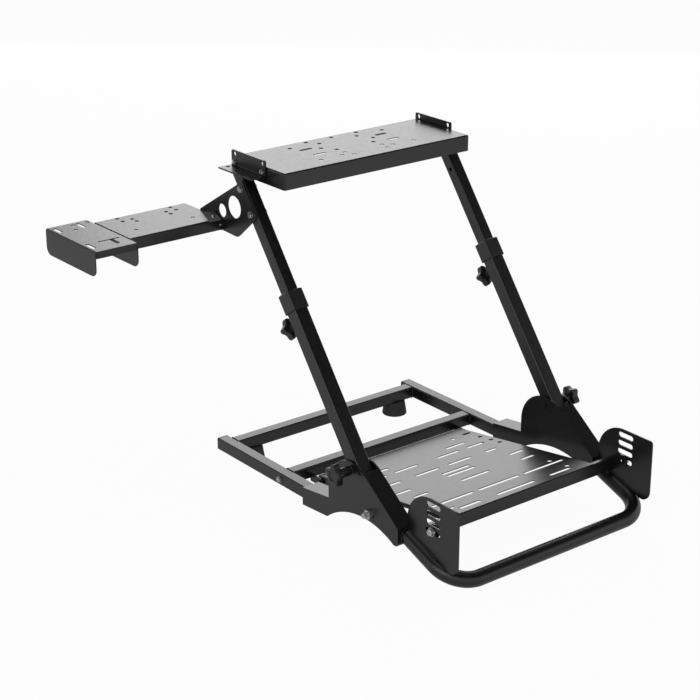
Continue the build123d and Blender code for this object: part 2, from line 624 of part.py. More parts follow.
def collar(side):
    """The plastic collar over the mouth of a lower tube."""
    outer = LOWER_TUBE + 2 * COLLAR_WALL
    mouth = UPPER_TUBE + 2 * SLIDE_FIT
    sleeve = extrude(RectangleRounded(outer, outer, TUBE_CORNER + COLLAR_WALL / 2), COLLAR_LENGTH)
    sleeve = chamfer(sleeve.faces().sort_by(Axis.Z)[-1].edges(), COLLAR_EDGE)
    sleeve -= extrude(RectangleRounded(LOWER_TUBE, LOWER_TUBE, TUBE_CORNER), COLLAR_LENGTH - COLLAR_LIP)
    sleeve -= extrude(RectangleRounded(mouth, mouth, TUBE_CORNER), COLLAR_LENGTH)
    return upright_frame(side) * Pos(0, 0, LOWER_ABOVE_PIVOT + COLLAR_LIP - COLLAR_LENGTH) * sleeve


def height_knob(side):
    """The star knob that clamps the upper tube, on the driver's side of each upright."""
    shank = Cylinder(CLAMP_BOLT / 2, LOWER_WALL, align=(Align.CENTER, Align.CENTER, Align.MAX))
    knob = star_knob(HEIGHT_KNOB_NECK) + shank
    return upright_frame(side) * Pos(0, LOWER_TUBE / 2, height_knob_place()) * Rot(-90, 0, 0) * knob


def ear_leg_top():
    """Height of the upper face of the ear's leg, which covers the upright's end."""
    return DECK_TOP_Z + EAR_ABOVE_DECK - EAR_HEIGHT + EAR_SHEET


def upper_tube_end():
    """Distance along the upright from the pivot to the end of its upper tube."""
    return (ear_leg_top() - EAR_SHEET - PIVOT_Z) / cos(radians(LEAN))


def gusset_bolts():
    """Distances along the upright of the gusset's upper and lower bolts."""
    upper = upper_tube_end() - GUSSET_BOLT_DROP
    return upper, upper - GUSSET_BOLT_STEP


def from_gusset_bolt(behind, below):
    """Y and Z of a point that is given from the gusset's upper bolt."""
    y, z = along_upright(gusset_bolts()[0])
    return y + behind, z - below


def upper_tube(side):
    """The upper tube of an upright, cut level under the ear's leg, with its height holes."""
    start = LOWER_ABOVE_PIVOT - UPPER_OVERLAP
    reach = upper_tube_end() + UPPER_TUBE
    tube = Pos(0, 0, start) * square_tube(UPPER_TUBE, UPPER_WALL, reach - start)
    for row in range(HEIGHT_HOLE_COUNT):
        place = height_knob_place() - row * HEIGHT_HOLE_STEP + HEIGHT_HOLE_STEP
        tube -= rear_pin(HEIGHT_HOLE / 2, UPPER_TUBE, place)
    for place in gusset_bolts():
        tube -= cross_pin(GUSSET_BOLT / 2, -UPPER_TUBE, UPPER_TUBE, 0, place)
    top = Plane.XY.offset(ear_leg_top() - EAR_SHEET)
    return split(upright_frame(side) * tube, bisect_by=top, keep=Keep.BOTTOM)


def wheel_deck():
    """The deck that the wheel is clamped or bolted to."""
    deck = pan(DECK_WIDTH, DECK_DEPTH, DECK_DROP, DECK_SHEET, DECK_CORNER, DECK_BEND)
    front = -DECK_DEPTH / 2
    cuts = Sketch()
    for middle, behind in DECK_HOLES:
        for x in {middle, -middle}:
            cuts += Pos(x, front + behind) * Circle(DECK_HOLE / 2)
    for middle, behind in DECK_SLOTS:
        for x in (middle, -middle):
            cuts += Pos(x, front + behind) * SlotOverall(DECK_SLOT_LENGTH, DECK_SLOT_WIDTH)
    deck -= extrude(cuts, -2 * DECK_SHEET)
    deck = Pos(0, DECK_REAR_Y - DECK_DEPTH / 2, DECK_TOP_Z) * deck
    bolt_z = DECK_TOP_Z + EAR_ABOVE_DECK - EAR_BOLT_DROP
    for y in ear_holes():
        deck -= cross_pin(EAR_HOLE / 2, -DECK_WIDTH / 2, DECK_WIDTH / 2, y, bolt_z)
    return deck


def ear_holes():
    """Y of the two columns of holes in an ear."""
    return DECK_REAR_Y - EAR_HOLE_INSET, DECK_REAR_Y - EAR_LENGTH + EAR_HOLE_INSET


def deck_ear(side):
    """The angle bracket between an upright and the deck: a leg on the tube and a wall beside the deck."""
    profile = angle_profile(EAR_LEG, EAR_HEIGHT, EAR_SHEET, EAR_BEND)
    ear = extrude(Plane.XZ * profile, EAR_LENGTH)
    wall = ear.faces().sort_by(Axis.Z)[-1]
    ear = fillet(wall.edges().filter_by(Axis.X), EAR_CORNER)
    ear = Pos(0, DECK_REAR_Y, ear_leg_top() - EAR_SHEET) * ear
    for y in ear_holes():
        for drop in (EAR_HOLE_DROP, EAR_BOLT_DROP):
            ear -= cross_pin(EAR_HOLE / 2, -EAR_LEG, EAR_LEG, y, DECK_TOP_Z + EAR_ABOVE_DECK - drop)
    ear -= Pos(EAR_LEG_HOLE_OUT, ear_holes()[0], ear_leg_top()) * Cylinder(EAR_LEG_HOLE / 2, 4 * EAR_SHEET)
    place = Pos(DECK_WIDTH / 2, 0, 0) * ear
    return place if side > 0 else mirror(place, about=Plane.YZ)


def gusset_face():
    """X of the gusset's outer face."""
    return -UPRIGHT_X - UPPER_TUBE / 2 - GUSSET_SHEET


def shifter_gusset():
    """The plate with two round windows that carries the shifter arm."""
    half = UPPER_TUBE / 2
    lean = radians(LEAN)
    upper, lower = gusset_bolts()
    top_y, top_z = along_upright(upper + GUSSET_BOLT_MARGIN)
    low_y, low_z = along_upright(lower - GUSSET_BOLT_MARGIN)
    front_top = (top_y - half * cos(lean), top_z + half * sin(lean))
    rear_top = (top_y + half * cos(lean), top_z - half * sin(lean))
    front_low = (low_y - half * cos(lean), low_z + half * sin(lean))
    foot = from_gusset_bolt(*GUSSET_FOOT)
    arm_y, arm_z = from_gusset_bolt(*ARM_FRONT)
    below_arm = (arm_y, arm_z - ARM_DROP)
    seat = from_gusset_bolt(*GUSSET_SEAT)
    tail = from_gusset_bolt(*GUSSET_TAIL)
    outline = Polygon(front_top, front_low, foot, below_arm, seat, tail, rear_top, align=None)
    outline = fillet(outline.vertices().sort_by_distance((*foot, 0))[0], GUSSET_ROUND)
    outline -= Pos(*from_gusset_bolt(*GUSSET_LARGE)) * Circle(GUSSET_LARGE_HOLE / 2)
    outline -= Pos(*from_gusset_bolt(*GUSSET_SMALL)) * Circle(GUSSET_SMALL_HOLE / 2)
    for place in (upper, lower):
        outline -= Pos(*along_upright(place)) * Circle(GUSSET_BOLT / 2)
    for bolt in ARM_END_BOLTS:
        outline -= Pos(*from_gusset_bolt(*bolt)) * Circle(ARM_END_BOLT / 2)
    return side_sheet(outline, gusset_face(), GUSSET_SHEET)


def shifter_arm():
    """The folded channel that reaches out to the shifter tray, with a welded plate at its inner end."""
    inner_x = gusset_face()
    outer_x = inner_x - ARM_LENGTH
    front, top = from_gusset_bolt(*ARM_FRONT)
    middle = front + ARM_WIDTH / 2
    profile = channel_profile(ARM_WIDTH, ARM_DROP, ARM_SHEET, ARM_BEND)
    arm = Pos(outer_x, middle, top) * extrude(Plane.YZ * profile, ARM_LENGTH)
    notch = Polygon(
        (inner_x, front + ARM_NOTCH_Y),
        (inner_x - ARM_NOTCH_X, front),
        (inner_x, front),
        align=None,
    )
    arm -= Pos(0, 0, top - ARM_BEND) * extrude(notch, 2 * ARM_BEND)
    cuts = Pos(outer_x, middle) * Rectangle(2 * ARM_END_GAP, ARM_WIDTH)
    for along, behind in ARM_HOLES:
        cuts += Pos(outer_x + along, front + behind) * Circle(ARM_HOLE / 2)
    arm -= Pos(0, 0, top) * extrude(cuts, -2 * ARM_SHEET)
    bolts = [from_gusset_bolt(*bolt) for bolt in ARM_END_BOLTS]
    eyes = [Pos(y, z) * Circle(ARM_END_MARGIN) for y, z in bolts]
    end = make_hull([edge for eye in eyes for edge in eye.edges()])
    for y, z in bolts:
        end -= Pos(y, z) * Circle(ARM_END_BOLT / 2)
    arm += side_sheet(end, inner_x - ARM_END_SHEET, ARM_END_SHEET)
    outer = Rectangle(ARM_WIDTH - 2 * ARM_SHEET, ARM_DROP - ARM_END_DROP, align=(Align.CENTER, Align.MIN))
    arm += side_sheet(Pos(middle, top - ARM_DROP) * outer, outer_x, ARM_END_SHEET)
    return arm


def shifter_tray():
    """The tray that the shifter is bolted to, with a deep wall on each side and a lip at the front."""
    profile = channel_profile(TRAY_WIDTH, TRAY_DROP, TRAY_SHEET, TRAY_BEND)
    tray = extrude(Plane.XZ * profile, -TRAY_LENGTH)
    low_corners = tray.edges().filter_by(Axis.X).group_by(Axis.Z)[0]
    tray = fillet(low_corners, TRAY_FLANGE_ROUND)
    lip = Rectangle(TRAY_WIDTH - 2 * TRAY_BEND, TRAY_LIP, align=(Align.CENTER, Align.MAX))
    tray += extrude(Plane.XZ * lip, -TRAY_SHEET)
    cuts = Pos(*TRAY_LINE) * SlotOverall(TRAY_LINE_LENGTH, TRAY_LINE_WIDTH)
    for x, y in TRAY_SLOTS:
        cuts += Pos(x, y) * Rot(0, 0, 90) * SlotOverall(TRAY_SLOT_LENGTH, TRAY_SLOT_WIDTH)
    for x, y in TRAY_HOLES:
        cuts += Pos(x, y) * Circle(TRAY_HOLE / 2)
    tray -= Pos(-TRAY_WIDTH / 2, 0, 0) * extrude(cuts, -2 * TRAY_SHEET)
    outer_x = gusset_face() - ARM_LENGTH
    arm_front, arm_top = from_gusset_bolt(*ARM_FRONT)
    return Pos(outer_x - TRAY_WIDTH / 2, arm_front - TRAY_AHEAD, arm_top + TRAY_ABOVE_ARM) * tray


def all_pieces():
    """Every piece of the stand by name, in the stand's own place."""
    pieces = {
        "rear_cross_tube": cross_tube(REAR_TUBE_Y),
        "middle_cross_tube": cross_tube(MIDDLE_TUBE_Y),
        "front_loop": front_loop(),
        "pedal_plate": pedal_plate(),
        "pedal_front_bar": pedal_bar(),
        "wheel_deck": wheel_deck(),
        "shifter_gusset": shifter_gusset(),
        "shifter_arm": shifter_arm(),
        "shifter_tray": shifter_tray(),
    }
    makers = {
        "rail": rail,
        "rail_cap": rail_cap,
        "rubber_foot": rubber_foot,
        "base_bracket": base_bracket,
        "pivot_bolt": pivot_bolt,
        "lock_knob": lock_knob,
        "lock_bolt_head": lock_bolt_head,
        "side_plate": side_plate,
        "pedal_lug": pedal_lug,
        "lower_tube": lower_tube,
        "collar": collar,
        "height_knob": height_knob,
        "upper_tube": upper_tube,
        "deck_ear": deck_ear,
    }
    for name, make in makers.items():
        for word, side in SIDES:
            pieces[f"{name}_{word}"] = make(side)
    return pieces


PIECES = all_pieces()
BOXES = [piece.bounding_box() for piece in PIECES.values()]
LOW = [min(getattr(box.min, axis) for box in BOXES) for axis in "XYZ"]
HIGH = [max(getattr(box.max, axis) for box in BOXES) for axis in "XYZ"]
# The origin is the middle of the stand's footprint, on the floor.
ORIGIN = ((LOW[0] + HIGH[0]) / 2, (LOW[1] + HIGH[1]) / 2, LOW[2])

os.makedirs("parts", exist_ok=True)
for name, piece in PIECES.items():
    export_step(Pos(-ORIGIN[0], -ORIGIN[1], -ORIGIN[2]) * piece, f"parts/{name}.step")
print("origin", ORIGIN, "size", [high - low for low, high in zip(LOW, HIGH)])
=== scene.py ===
import json
from math import cos, pi, radians, sin

import bmesh
import bpy
from mathutils import Matrix, Vector

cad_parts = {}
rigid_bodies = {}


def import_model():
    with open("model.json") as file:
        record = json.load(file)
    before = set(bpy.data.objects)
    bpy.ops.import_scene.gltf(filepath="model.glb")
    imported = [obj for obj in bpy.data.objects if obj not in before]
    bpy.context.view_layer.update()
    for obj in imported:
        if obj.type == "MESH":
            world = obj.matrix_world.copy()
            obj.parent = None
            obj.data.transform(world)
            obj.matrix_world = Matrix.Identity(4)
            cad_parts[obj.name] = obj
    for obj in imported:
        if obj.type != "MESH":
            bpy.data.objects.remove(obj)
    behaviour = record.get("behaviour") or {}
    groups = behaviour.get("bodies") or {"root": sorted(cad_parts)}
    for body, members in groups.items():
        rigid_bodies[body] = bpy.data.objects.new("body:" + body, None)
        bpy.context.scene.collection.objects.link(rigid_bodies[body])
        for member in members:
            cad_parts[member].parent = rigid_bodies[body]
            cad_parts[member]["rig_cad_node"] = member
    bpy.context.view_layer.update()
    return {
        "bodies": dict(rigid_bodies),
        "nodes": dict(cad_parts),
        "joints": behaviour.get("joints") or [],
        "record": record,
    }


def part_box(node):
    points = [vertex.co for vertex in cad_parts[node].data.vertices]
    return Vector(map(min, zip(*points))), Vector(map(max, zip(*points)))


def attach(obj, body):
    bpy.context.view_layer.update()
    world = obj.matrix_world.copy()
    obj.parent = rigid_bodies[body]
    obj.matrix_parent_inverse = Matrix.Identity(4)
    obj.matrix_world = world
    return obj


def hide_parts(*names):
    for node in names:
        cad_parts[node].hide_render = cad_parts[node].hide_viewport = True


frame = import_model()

bl_info = {
    "name": "Racing Wheel Stand",
    "version": (1, 0, 0),
    "blender": (4, 5, 0),
    "location": "View3D > Sidebar > Wheel Stand",
    "description": "Dresses a folding racing wheel stand: coated steel, plastic knobs, welds, bolts and a white studio",
    "category": "Object",
}

JOINTS = {joint["name"]: joint for joint in frame["joints"]}
SLOT_OF = {row["node"]: row["material_slot"] for row in frame["record"]["subparts"]}
BODY_OF = {node: body for body, nodes in frame["record"]["behaviour"]["bodies"].items() for node in nodes}
MM = 0.001

# Pivot of the uprights, the way that they lean and the way square to it, to the rear
PIVOT = Vector(JOINTS["fold"]["pos_m"])
UPRIGHT = Vector(JOINTS["height"]["axis"]).normalized()
REARWARD = Vector((0, UPRIGHT.z, -UPRIGHT.y))
SIDES = (("left", -1), ("right", 1))


def linear(hex_colour):
    """An sRGB hex colour as linear red, green, blue and alpha."""
    values = [int(hex_colour[place:place + 2], 16) / 255 for place in (1, 3, 5)]
    return tuple(v / 12.92 if v <= 0.04045 else ((v + 0.055) / 1.055) ** 2.4 for v in values) + (1.0,)


def length(name, description, millimetres):
    """A length property with its default in millimetres."""
    return bpy.props.FloatProperty(name=name, description=description, default=millimetres * MM, min=0.0,
                                   unit="LENGTH", precision=4)


def colour(name, description, hex_colour):
    """A colour property with its default as an sRGB hex value."""
    return bpy.props.FloatVectorProperty(name=name, description=description, default=linear(hex_colour), size=4,
                                         subtype="COLOR", min=0.0, max=1.0)


class StandSizes(bpy.types.PropertyGroup):
    """Sizes of the fittings and of the edges."""

    edge_round: length("Edge round", "Rounding that the coat gives to a cut sheet edge", 0.5)
    moulded_round: length("Moulded round", "Rounding of a moulded plastic edge", 0.8)
    nut_round: length("Nut round", "Rounding of a nut's edges", 0.5)
    weld_bead: length("Weld bead", "Radius of a weld bead", 1.4)
    weld_pitch: length("Weld pitch", "Distance between two ripples of a weld", 1.8)
    bolt_flats: length("Bolt flats", "Width across the flats of an M8 head", 13.0)
    bolt_head: length("Bolt head", "Height of an M8 head", 5.3)
    washer_radius: length("Washer radius", "Outer radius of an M8 washer", 8.4)
    washer_sheet: length("Washer thickness", "Thickness of an M8 washer", 1.6)
    gusset_bolt_drop: length("Gusset bolt drop", "Upper gusset bolt below the deck bracket, along the tube", 30.0)
    gusset_bolt_step: length("Gusset bolt step", "Distance between the two gusset bolts", 52.0)
    arm_bolt_behind: length("Arm bolt", "Upper bolt of the arm, behind the gusset's upper bolt", 89.0)
    arm_bolt_below: length("Arm bolt drop", "Upper bolt of the arm, below the gusset's upper bolt", 73.5)
    arm_bolt_ahead: length("Arm bolt step", "Lower bolt of the arm, ahead of its upper bolt", 22.0)
    arm_bolt_lower: length("Arm bolt fall", "Lower bolt of the arm, below its upper bolt", 11.0)
    sheet: length("Sheet", "Thickness of the angle brackets, side plates and arm's end", 3.0)
    tab_radius: length("Tab radius", "Radius of the pedal plate's bolting tabs", 13.0)
    ear_bolt_inset: length("Deck bolt inset", "Deck bolt from the end of its angle bracket", 10.0)
    ear_bolt_drop: length("Deck bolt drop", "Deck bolt below the top of its angle bracket", 23.0)
    knob_radius: length("Knob radius", "Radius of a star knob over its lobes", 21.5)
    knob_valley: length("Knob valley", "Radius of a star knob between its lobes", 15.9)
    knob_grip: length("Knob grip", "Height of a star knob's lobed grip", 15.0)
    lock_neck: length("Lock neck", "Height of a lock knob's neck", 26.0)
    height_neck: length("Height neck", "Height of a height knob's neck", 18.0)
    height_place: length("Height knob", "Height knob from the pivot, along the upright", 375.0)
    knob_edge: length("Knob edge", "Rounding of a star knob's grip", 2.6)
    knob_sink: length("Knob sink", "Depth of the sunk cap in a star knob's top", 1.4)
    knob_rim: length("Knob rim", "Rim of the sunk cap past the neck's radius", 0.6)
    knob_taper: length("Knob taper", "Sunk cap's floor inside the neck's radius", 0.2)
    knob_flare: length("Knob flare", "Flare of a star knob's neck at its foot", 1.2)
    knob_foot: length("Knob foot", "Height of the flare at a star knob's foot", 0.8)
    knob_blend: length("Knob blend", "Height over which the neck grows into the lobes", 2.0)
    knob_neck_radius: length("Neck radius", "Radius of a star knob's neck", 9.0)
    loop_tube: length("Loop tube", "Diameter of the front loop's tube", 30.0)
    loop_bend: length("Loop bend", "Bend radius of the front loop at the tube's middle", 58.0)
    tube_corner: length("Tube corner", "Corner radius of the square tubes", 3.0)
    thread_radius: length("Thread radius", "Radius of an M10 thread at half its depth", 4.8)
    thread_pitch: length("Thread pitch", "Pitch of an M10 thread", 1.5)
    thread_length: length("Thread length", "Thread of a pivot bolt past its nut", 8.0)


class StandColours(bpy.types.PropertyGroup):
    """Colours of the finishes."""

    coat: colour("Powder coat", "Satin black powder coat on the steel", "#070707")
    coat_worn: colour("Coat highlight", "Slightly greyer coat between the grains", "#0c0c0d")
    nylon: colour("Nylon", "Moulded black nylon of knobs, collars and caps", "#0a0a0a")
    nylon_worn: colour("Nylon highlight", "Slightly greyer nylon between the grains", "#101011")
    rubber: colour("Rubber", "Black rubber of the feet", "#303030")
    rubber_dusty: colour("Dusty rubber", "Rubber where dust has settled", "#3a3a3a")
    zinc: colour("Zinc", "Bright zinc plate on bolts and nuts", "#c8cacd")
    zinc_dull: colour("Dull zinc", "Zinc plate where it has dulled", "#9a9c9f")
    floor: colour("Floor", "Paper of the studio floor", "#bcbcbc")
    card: colour("Card", "Black card over the studio", "#0a0a0a")


class StandSettings(bpy.types.PropertyGroup):
    """All settings of the stand."""

    sizes: bpy.props.PointerProperty(type=StandSizes, name="Sizes", description="Sizes of the fittings")
    colours: bpy.props.PointerProperty(type=StandColours, name="Colours", description="Colours of the finishes")


def sizes():
    """The size settings of the scene."""
    return bpy.context.scene.wheel_stand.sizes


def colours():
    """The colour settings of the scene."""
    return bpy.context.scene.wheel_stand.colours


# Node trees and materials

def add_node(tree, kind, inputs=None, **settings):
    """Adds a node with its settings. inputs gives each named or numbered input a value or a link."""
    node = tree.nodes.new(kind)
    for name, value in settings.items():
        setattr(node, name, value)
    for key, value in (inputs or {}).items():
        if isinstance(value, bpy.types.NodeSocket):
            tree.links.new(value, node.inputs[key])
        else:
            node.inputs[key].default_value = value
    return node


def new_material(name):
    """An empty material with its node tree."""
    material = bpy.data.materials.new(name)
    material.use_nodes = True
    material.node_tree.nodes.clear()
    return material, material.node_tree


def pattern_scale(millimetres):
    """Scale of a noise whose grains are about this wide, on coordinates in metres."""
    return 1.0 / (millimetres * MM)


def mottled(tree, grain, low, high):
    """A noise on object coordinates, turned into a colour between two colours. Gives the noise and the colour."""
    place = add_node(tree, "ShaderNodeTexCoord")
    noise = add_node(tree, "ShaderNodeTexNoise", {"Vector": place.outputs["Object"], "Scale": pattern_scale(grain),
                                                  "Detail": 3.0, "Roughness": 0.55})
    ramp = add_node(tree, "ShaderNodeValToRGB", {"Fac": noise.outputs["Fac"]})
    ramp.color_ramp.elements[0].position = 0.35
    ramp.color_ramp.elements[1].position = 0.7
    ramp.color_ramp.elements[0].color = low
    ramp.color_ramp.elements[1].color = high
    return noise.outputs["Fac"], ramp.outputs["Color"]


def rough_range(tree, factor, low, high):
    """Roughness that follows a noise between two values."""
    spread = add_node(tree, "ShaderNodeMapRange", {"Value": factor, "To Min": low, "To Max": high})
    return spread.outputs["Result"]


def bumped(tree, grain, height):
    """A bump of fine grains, with its height in millimetres."""
    place = add_node(tree, "ShaderNodeTexCoord")
    noise = add_node(tree, "ShaderNodeTexNoise", {"Vector": place.outputs["Object"], "Scale": pattern_scale(grain),
                                                  "Detail": 1.0})
    bump = add_node(tree, "ShaderNodeBump", {"Height": noise.outputs["Fac"], "Distance": height * MM,
                                             "Strength": 1.0})
    return bump.outputs["Normal"]


def surface(tree, inputs):
    """Principled shader and output of a material."""
    shader = add_node(tree, "ShaderNodeBsdfPrincipled", inputs)
    add_node(tree, "ShaderNodeOutputMaterial", {"Surface": shader.outputs["BSDF"]})


def powder_coat():
    """Steel with a baked satin powder coat: an even black with a faint orange peel, bright only at a low angle."""
    material = bpy.data.materials.get("satin_black_powder_coat")
    if material:
        return material
    material, tree = new_material("satin_black_powder_coat")
    # Orange peel is about 1.5 mm wide. It is drawn at 2.5 mm so that it shows.
    factor, tone = mottled(tree, 9.0, colours().coat, colours().coat_worn)
    surface(tree, {"Base Color": tone, "Roughness": rough_range(tree, factor, 0.27, 0.36),
                   "Specular IOR Level": 0.5, "Normal": bumped(tree, 2.5, 0.02)})
    return material


def moulded_nylon():
    """Glass-filled nylon from a spark-eroded mould: matte black with a fine even grain."""
    material = bpy.data.materials.get("moulded_black_nylon")
    if material:
        return material
    material, tree = new_material("moulded_black_nylon")
    factor, tone = mottled(tree, 4.0, colours().nylon, colours().nylon_worn)
    surface(tree, {"Base Color": tone, "Roughness": rough_range(tree, factor, 0.34, 0.44),
                   "Specular IOR Level": 0.5, "Normal": bumped(tree, 1.0, 0.03)})
    return material


def moulded_rubber():
    """Compression-moulded rubber: dull black, a little dusty."""
    material = bpy.data.materials.get("moulded_black_rubber")
    if material:
        return material
    material, tree = new_material("moulded_black_rubber")
    factor, tone = mottled(tree, 6.0, colours().rubber, colours().rubber_dusty)
    surface(tree, {"Base Color": tone, "Roughness": rough_range(tree, factor, 0.7, 0.85),
                   "Specular IOR Level": 0.3, "Normal": bumped(tree, 1.2, 0.04)})
    return material


def zinc_plate():
    """Forged steel with bright zinc plate: a pale blue-grey metal with cloudy dull patches."""
    material = bpy.data.materials.get("bright_zinc_plate")
    if material:
        return material
    material, tree = new_material("bright_zinc_plate")
    factor, tone = mottled(tree, 3.0, colours().zinc_dull, colours().zinc)
    surface(tree, {"Base Color": tone, "Metallic": 1.0, "Roughness": rough_range(tree, factor, 0.22, 0.4)})
    return material


FINISH = {
    "black_coated_steel": powder_coat,
    "black_plastic": moulded_nylon,
    "black_rubber": moulded_rubber,
    "zinc_steel": zinc_plate,
}


# Meshes and pieces

MERGE_DISTANCE = 0.01 * MM  # points that lie closer are one point
FLAT_ANGLE = 0.3            # degrees: facets that meet at less are one face
ROUNDED_ANGLE = 40          # degrees: edges that turn more are rounded, or kept sharp on a tube
ROUND_SEGMENTS = 2


def evaluated_mesh(obj):
    """The plain mesh of an object with its modifiers."""
    bpy.context.view_layer.update()
    depsgraph = bpy.context.evaluated_depsgraph_get()
    return bpy.data.meshes.new_from_object(obj.evaluated_get(depsgraph), depsgraph=depsgraph)


def new_object(name, data):
    """An object at the origin, in the scene."""
    obj = bpy.data.objects.new(name, data)
    bpy.context.scene.collection.objects.link(obj)
    return obj


def settle(obj, body, nodes=()):
    """Rides a finished piece on its body and hides the solids that it stands for."""
    if not obj.data.polygons:
        raise RuntimeError(f"{obj.name} came out empty")
    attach(obj, body)
    if nodes:
        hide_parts(*nodes)
    return obj


def bake(obj):
    """Turns an object's modifiers into its mesh."""
    mesh = evaluated_mesh(obj)
    obj.modifiers.clear()
    obj.data = mesh
    return obj


def dress(node, edge):
    """A piece with a solid's shape, its facets merged and its edges rounded, in place of that solid."""
    shape = bmesh.new()
    shape.from_mesh(frame["nodes"][node].data)
    bmesh.ops.remove_doubles(shape, verts=shape.verts, dist=MERGE_DISTANCE)
    bmesh.ops.dissolve_limit(shape, angle_limit=radians(FLAT_ANGLE), verts=shape.verts, edges=shape.edges)
    mesh = bpy.data.meshes.new(f"{node}_finish")
    shape.to_mesh(mesh)
    shape.free()
    for attribute in [a for a in mesh.attributes if a.name == "custom_normal"]:
        mesh.attributes.remove(attribute)
    mesh.shade_smooth()
    slot = SLOT_OF[node]
    mesh.materials.clear()
    mesh.materials.append(FINISH[slot]())
    obj = new_object(f"{node}_finish", mesh)
    bevel = obj.modifiers.new("Rounded edges", "BEVEL")
    bevel.width = edge
    bevel.segments = ROUND_SEGMENTS
    bevel.limit_method = "ANGLE"
    bevel.angle_limit = radians(ROUNDED_ANGLE)
    normals = obj.modifiers.new("Flat faces", "WEIGHTED_NORMAL")
    normals.keep_sharp = False
    return settle(bake(obj), BODY_OF[node], [node])


def dress_both(names, edge):
    """Dresses the left and the right one of each named solid."""
    for name in names:
        for side, _ in SIDES:
            dress(f"{name}_{side}", edge)


def node_tree(name, inputs):
    """A geometry node tree with named inputs. Gives the tree and its input node."""
    tree = bpy.data.node_groups.new(name, "GeometryNodeTree")
    tree.interface.new_socket(name="Geometry", in_out="INPUT", socket_type="NodeSocketGeometry")
    for label in inputs:
        tree.interface.new_socket(name=label, in_out="INPUT", socket_type="NodeSocketFloat")
    tree.interface.new_socket(name="Geometry", in_out="OUTPUT", socket_type="NodeSocketGeometry")
    return tree, add_node(tree, "NodeGroupInput")


def end_tree(tree, geometry, material):
    """Ends a geometry node tree: realised and painted."""
    real = add_node(tree, "GeometryNodeRealizeInstances", {"Geometry": geometry})
    painted = add_node(tree, "GeometryNodeSetMaterial", {"Geometry": real.outputs[0], "Material": material})
    add_node(tree, "NodeGroupOutput", {0: painted.outputs[0]})


def grow(name, data, tree, values):
    """A plain mesh object that a geometry node tree makes from some data and its named inputs."""
    holder = new_object(f"{name}_path", data)
    modifier = holder.modifiers.new(tree.name, "NODES")
    modifier.node_group = tree
    for item in tree.interface.items_tree:
        if item.in_out == "INPUT" and item.name in values:
            modifier[item.identifier] = values[item.name]
    mesh = evaluated_mesh(holder)
    bpy.data.objects.remove(holder)
    mesh.name = name
    return new_object(name, mesh)


def polylines(name, lines):
    """A mesh of edges: each line is a list of points, and the flag closes it."""
    points, edges = [], []
    for line, closed in lines:
        first = len(points)
        points += line
        edges += [(first + k, first + k + 1) for k in range(len(line) - 1)]
        if closed:
            edges.append((len(points) - 1, first))
    mesh = bpy.data.meshes.new(name)
    mesh.from_pydata(points, edges, [])
    return mesh


def facing_points(name, places):
    """A mesh of points, each with the way that it faces and its share of the full size."""
    mesh = bpy.data.meshes.new(name)
    mesh.from_pydata([point for point, _, _ in places], [], [])
    mesh.attributes.new("facing", "FLOAT_VECTOR", "POINT")
    mesh.attributes.new("share", "FLOAT", "POINT")
    mesh.attributes["facing"].data.foreach_set("vector", [v for _, way, _ in places for v in way])
    mesh.attributes["share"].data.foreach_set("value", [part for _, _, part in places])
    return mesh


def smooth_by_angle(mesh, degrees):
    """Smooth shading, with the edges over an angle kept sharp."""
    mesh.shade_smooth()
    mesh.set_sharp_from_angle(angle=radians(degrees))


# Places on the stand

def outer_x(node, side):
    """The x of a solid's outermost face on a side, which is -1 for the left and 1 for the right."""
    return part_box(node)[0 if side < 0 else 1].x


def upright_point(x, along):
    """A point on the upright's axis at a distance from the pivot."""
    return Vector((x, PIVOT.y, PIVOT.z)) + UPRIGHT * along


def upright_top():
    """Distance from the pivot to the top of the upright's axis, under the deck's angle bracket."""
    return (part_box("deck_ear_left")[0].z - PIVOT.z) / UPRIGHT.z


def loop_line():
    """Corner points of the front loop's middle line, from one bracket to the other."""
    low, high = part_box("front_loop")
    radius = sizes().loop_tube / 2
    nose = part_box("base_bracket_left")[0].y
    front = Vector((0, low.y + radius, low.z + radius))
    slope = (high.z - front.z - radius) / (high.y - front.y)
    rear = Vector((0, nose, front.z + slope * (nose - front.y)))
    left, right = low.x + radius, high.x - radius
    return [Vector((left, rear.y, rear.z)), Vector((left, front.y, front.z)),
            Vector((right, front.y, front.z)), Vector((right, rear.y, rear.z))]


class WHEELSTAND_OT_base_frame(bpy.types.Operator):
    """Rails, cross tubes and the pedal plate's lugs."""

    bl_idname = "wheel_stand.base_frame"
    bl_label = "Base frame"

    def execute(self, context):
        dress_both(["rail", "pedal_lug"], sizes().edge_round)
        for node in ("rear_cross_tube", "middle_cross_tube"):
            dress(node, sizes().edge_round)
        return {"FINISHED"}


class WHEELSTAND_OT_brackets(bpy.types.Operator):
    """Folded base brackets and slotted side plates."""

    bl_idname = "wheel_stand.brackets"
    bl_label = "Brackets and side plates"

    def execute(self, context):
        dress_both(["base_bracket", "side_plate"], sizes().edge_round)
        return {"FINISHED"}


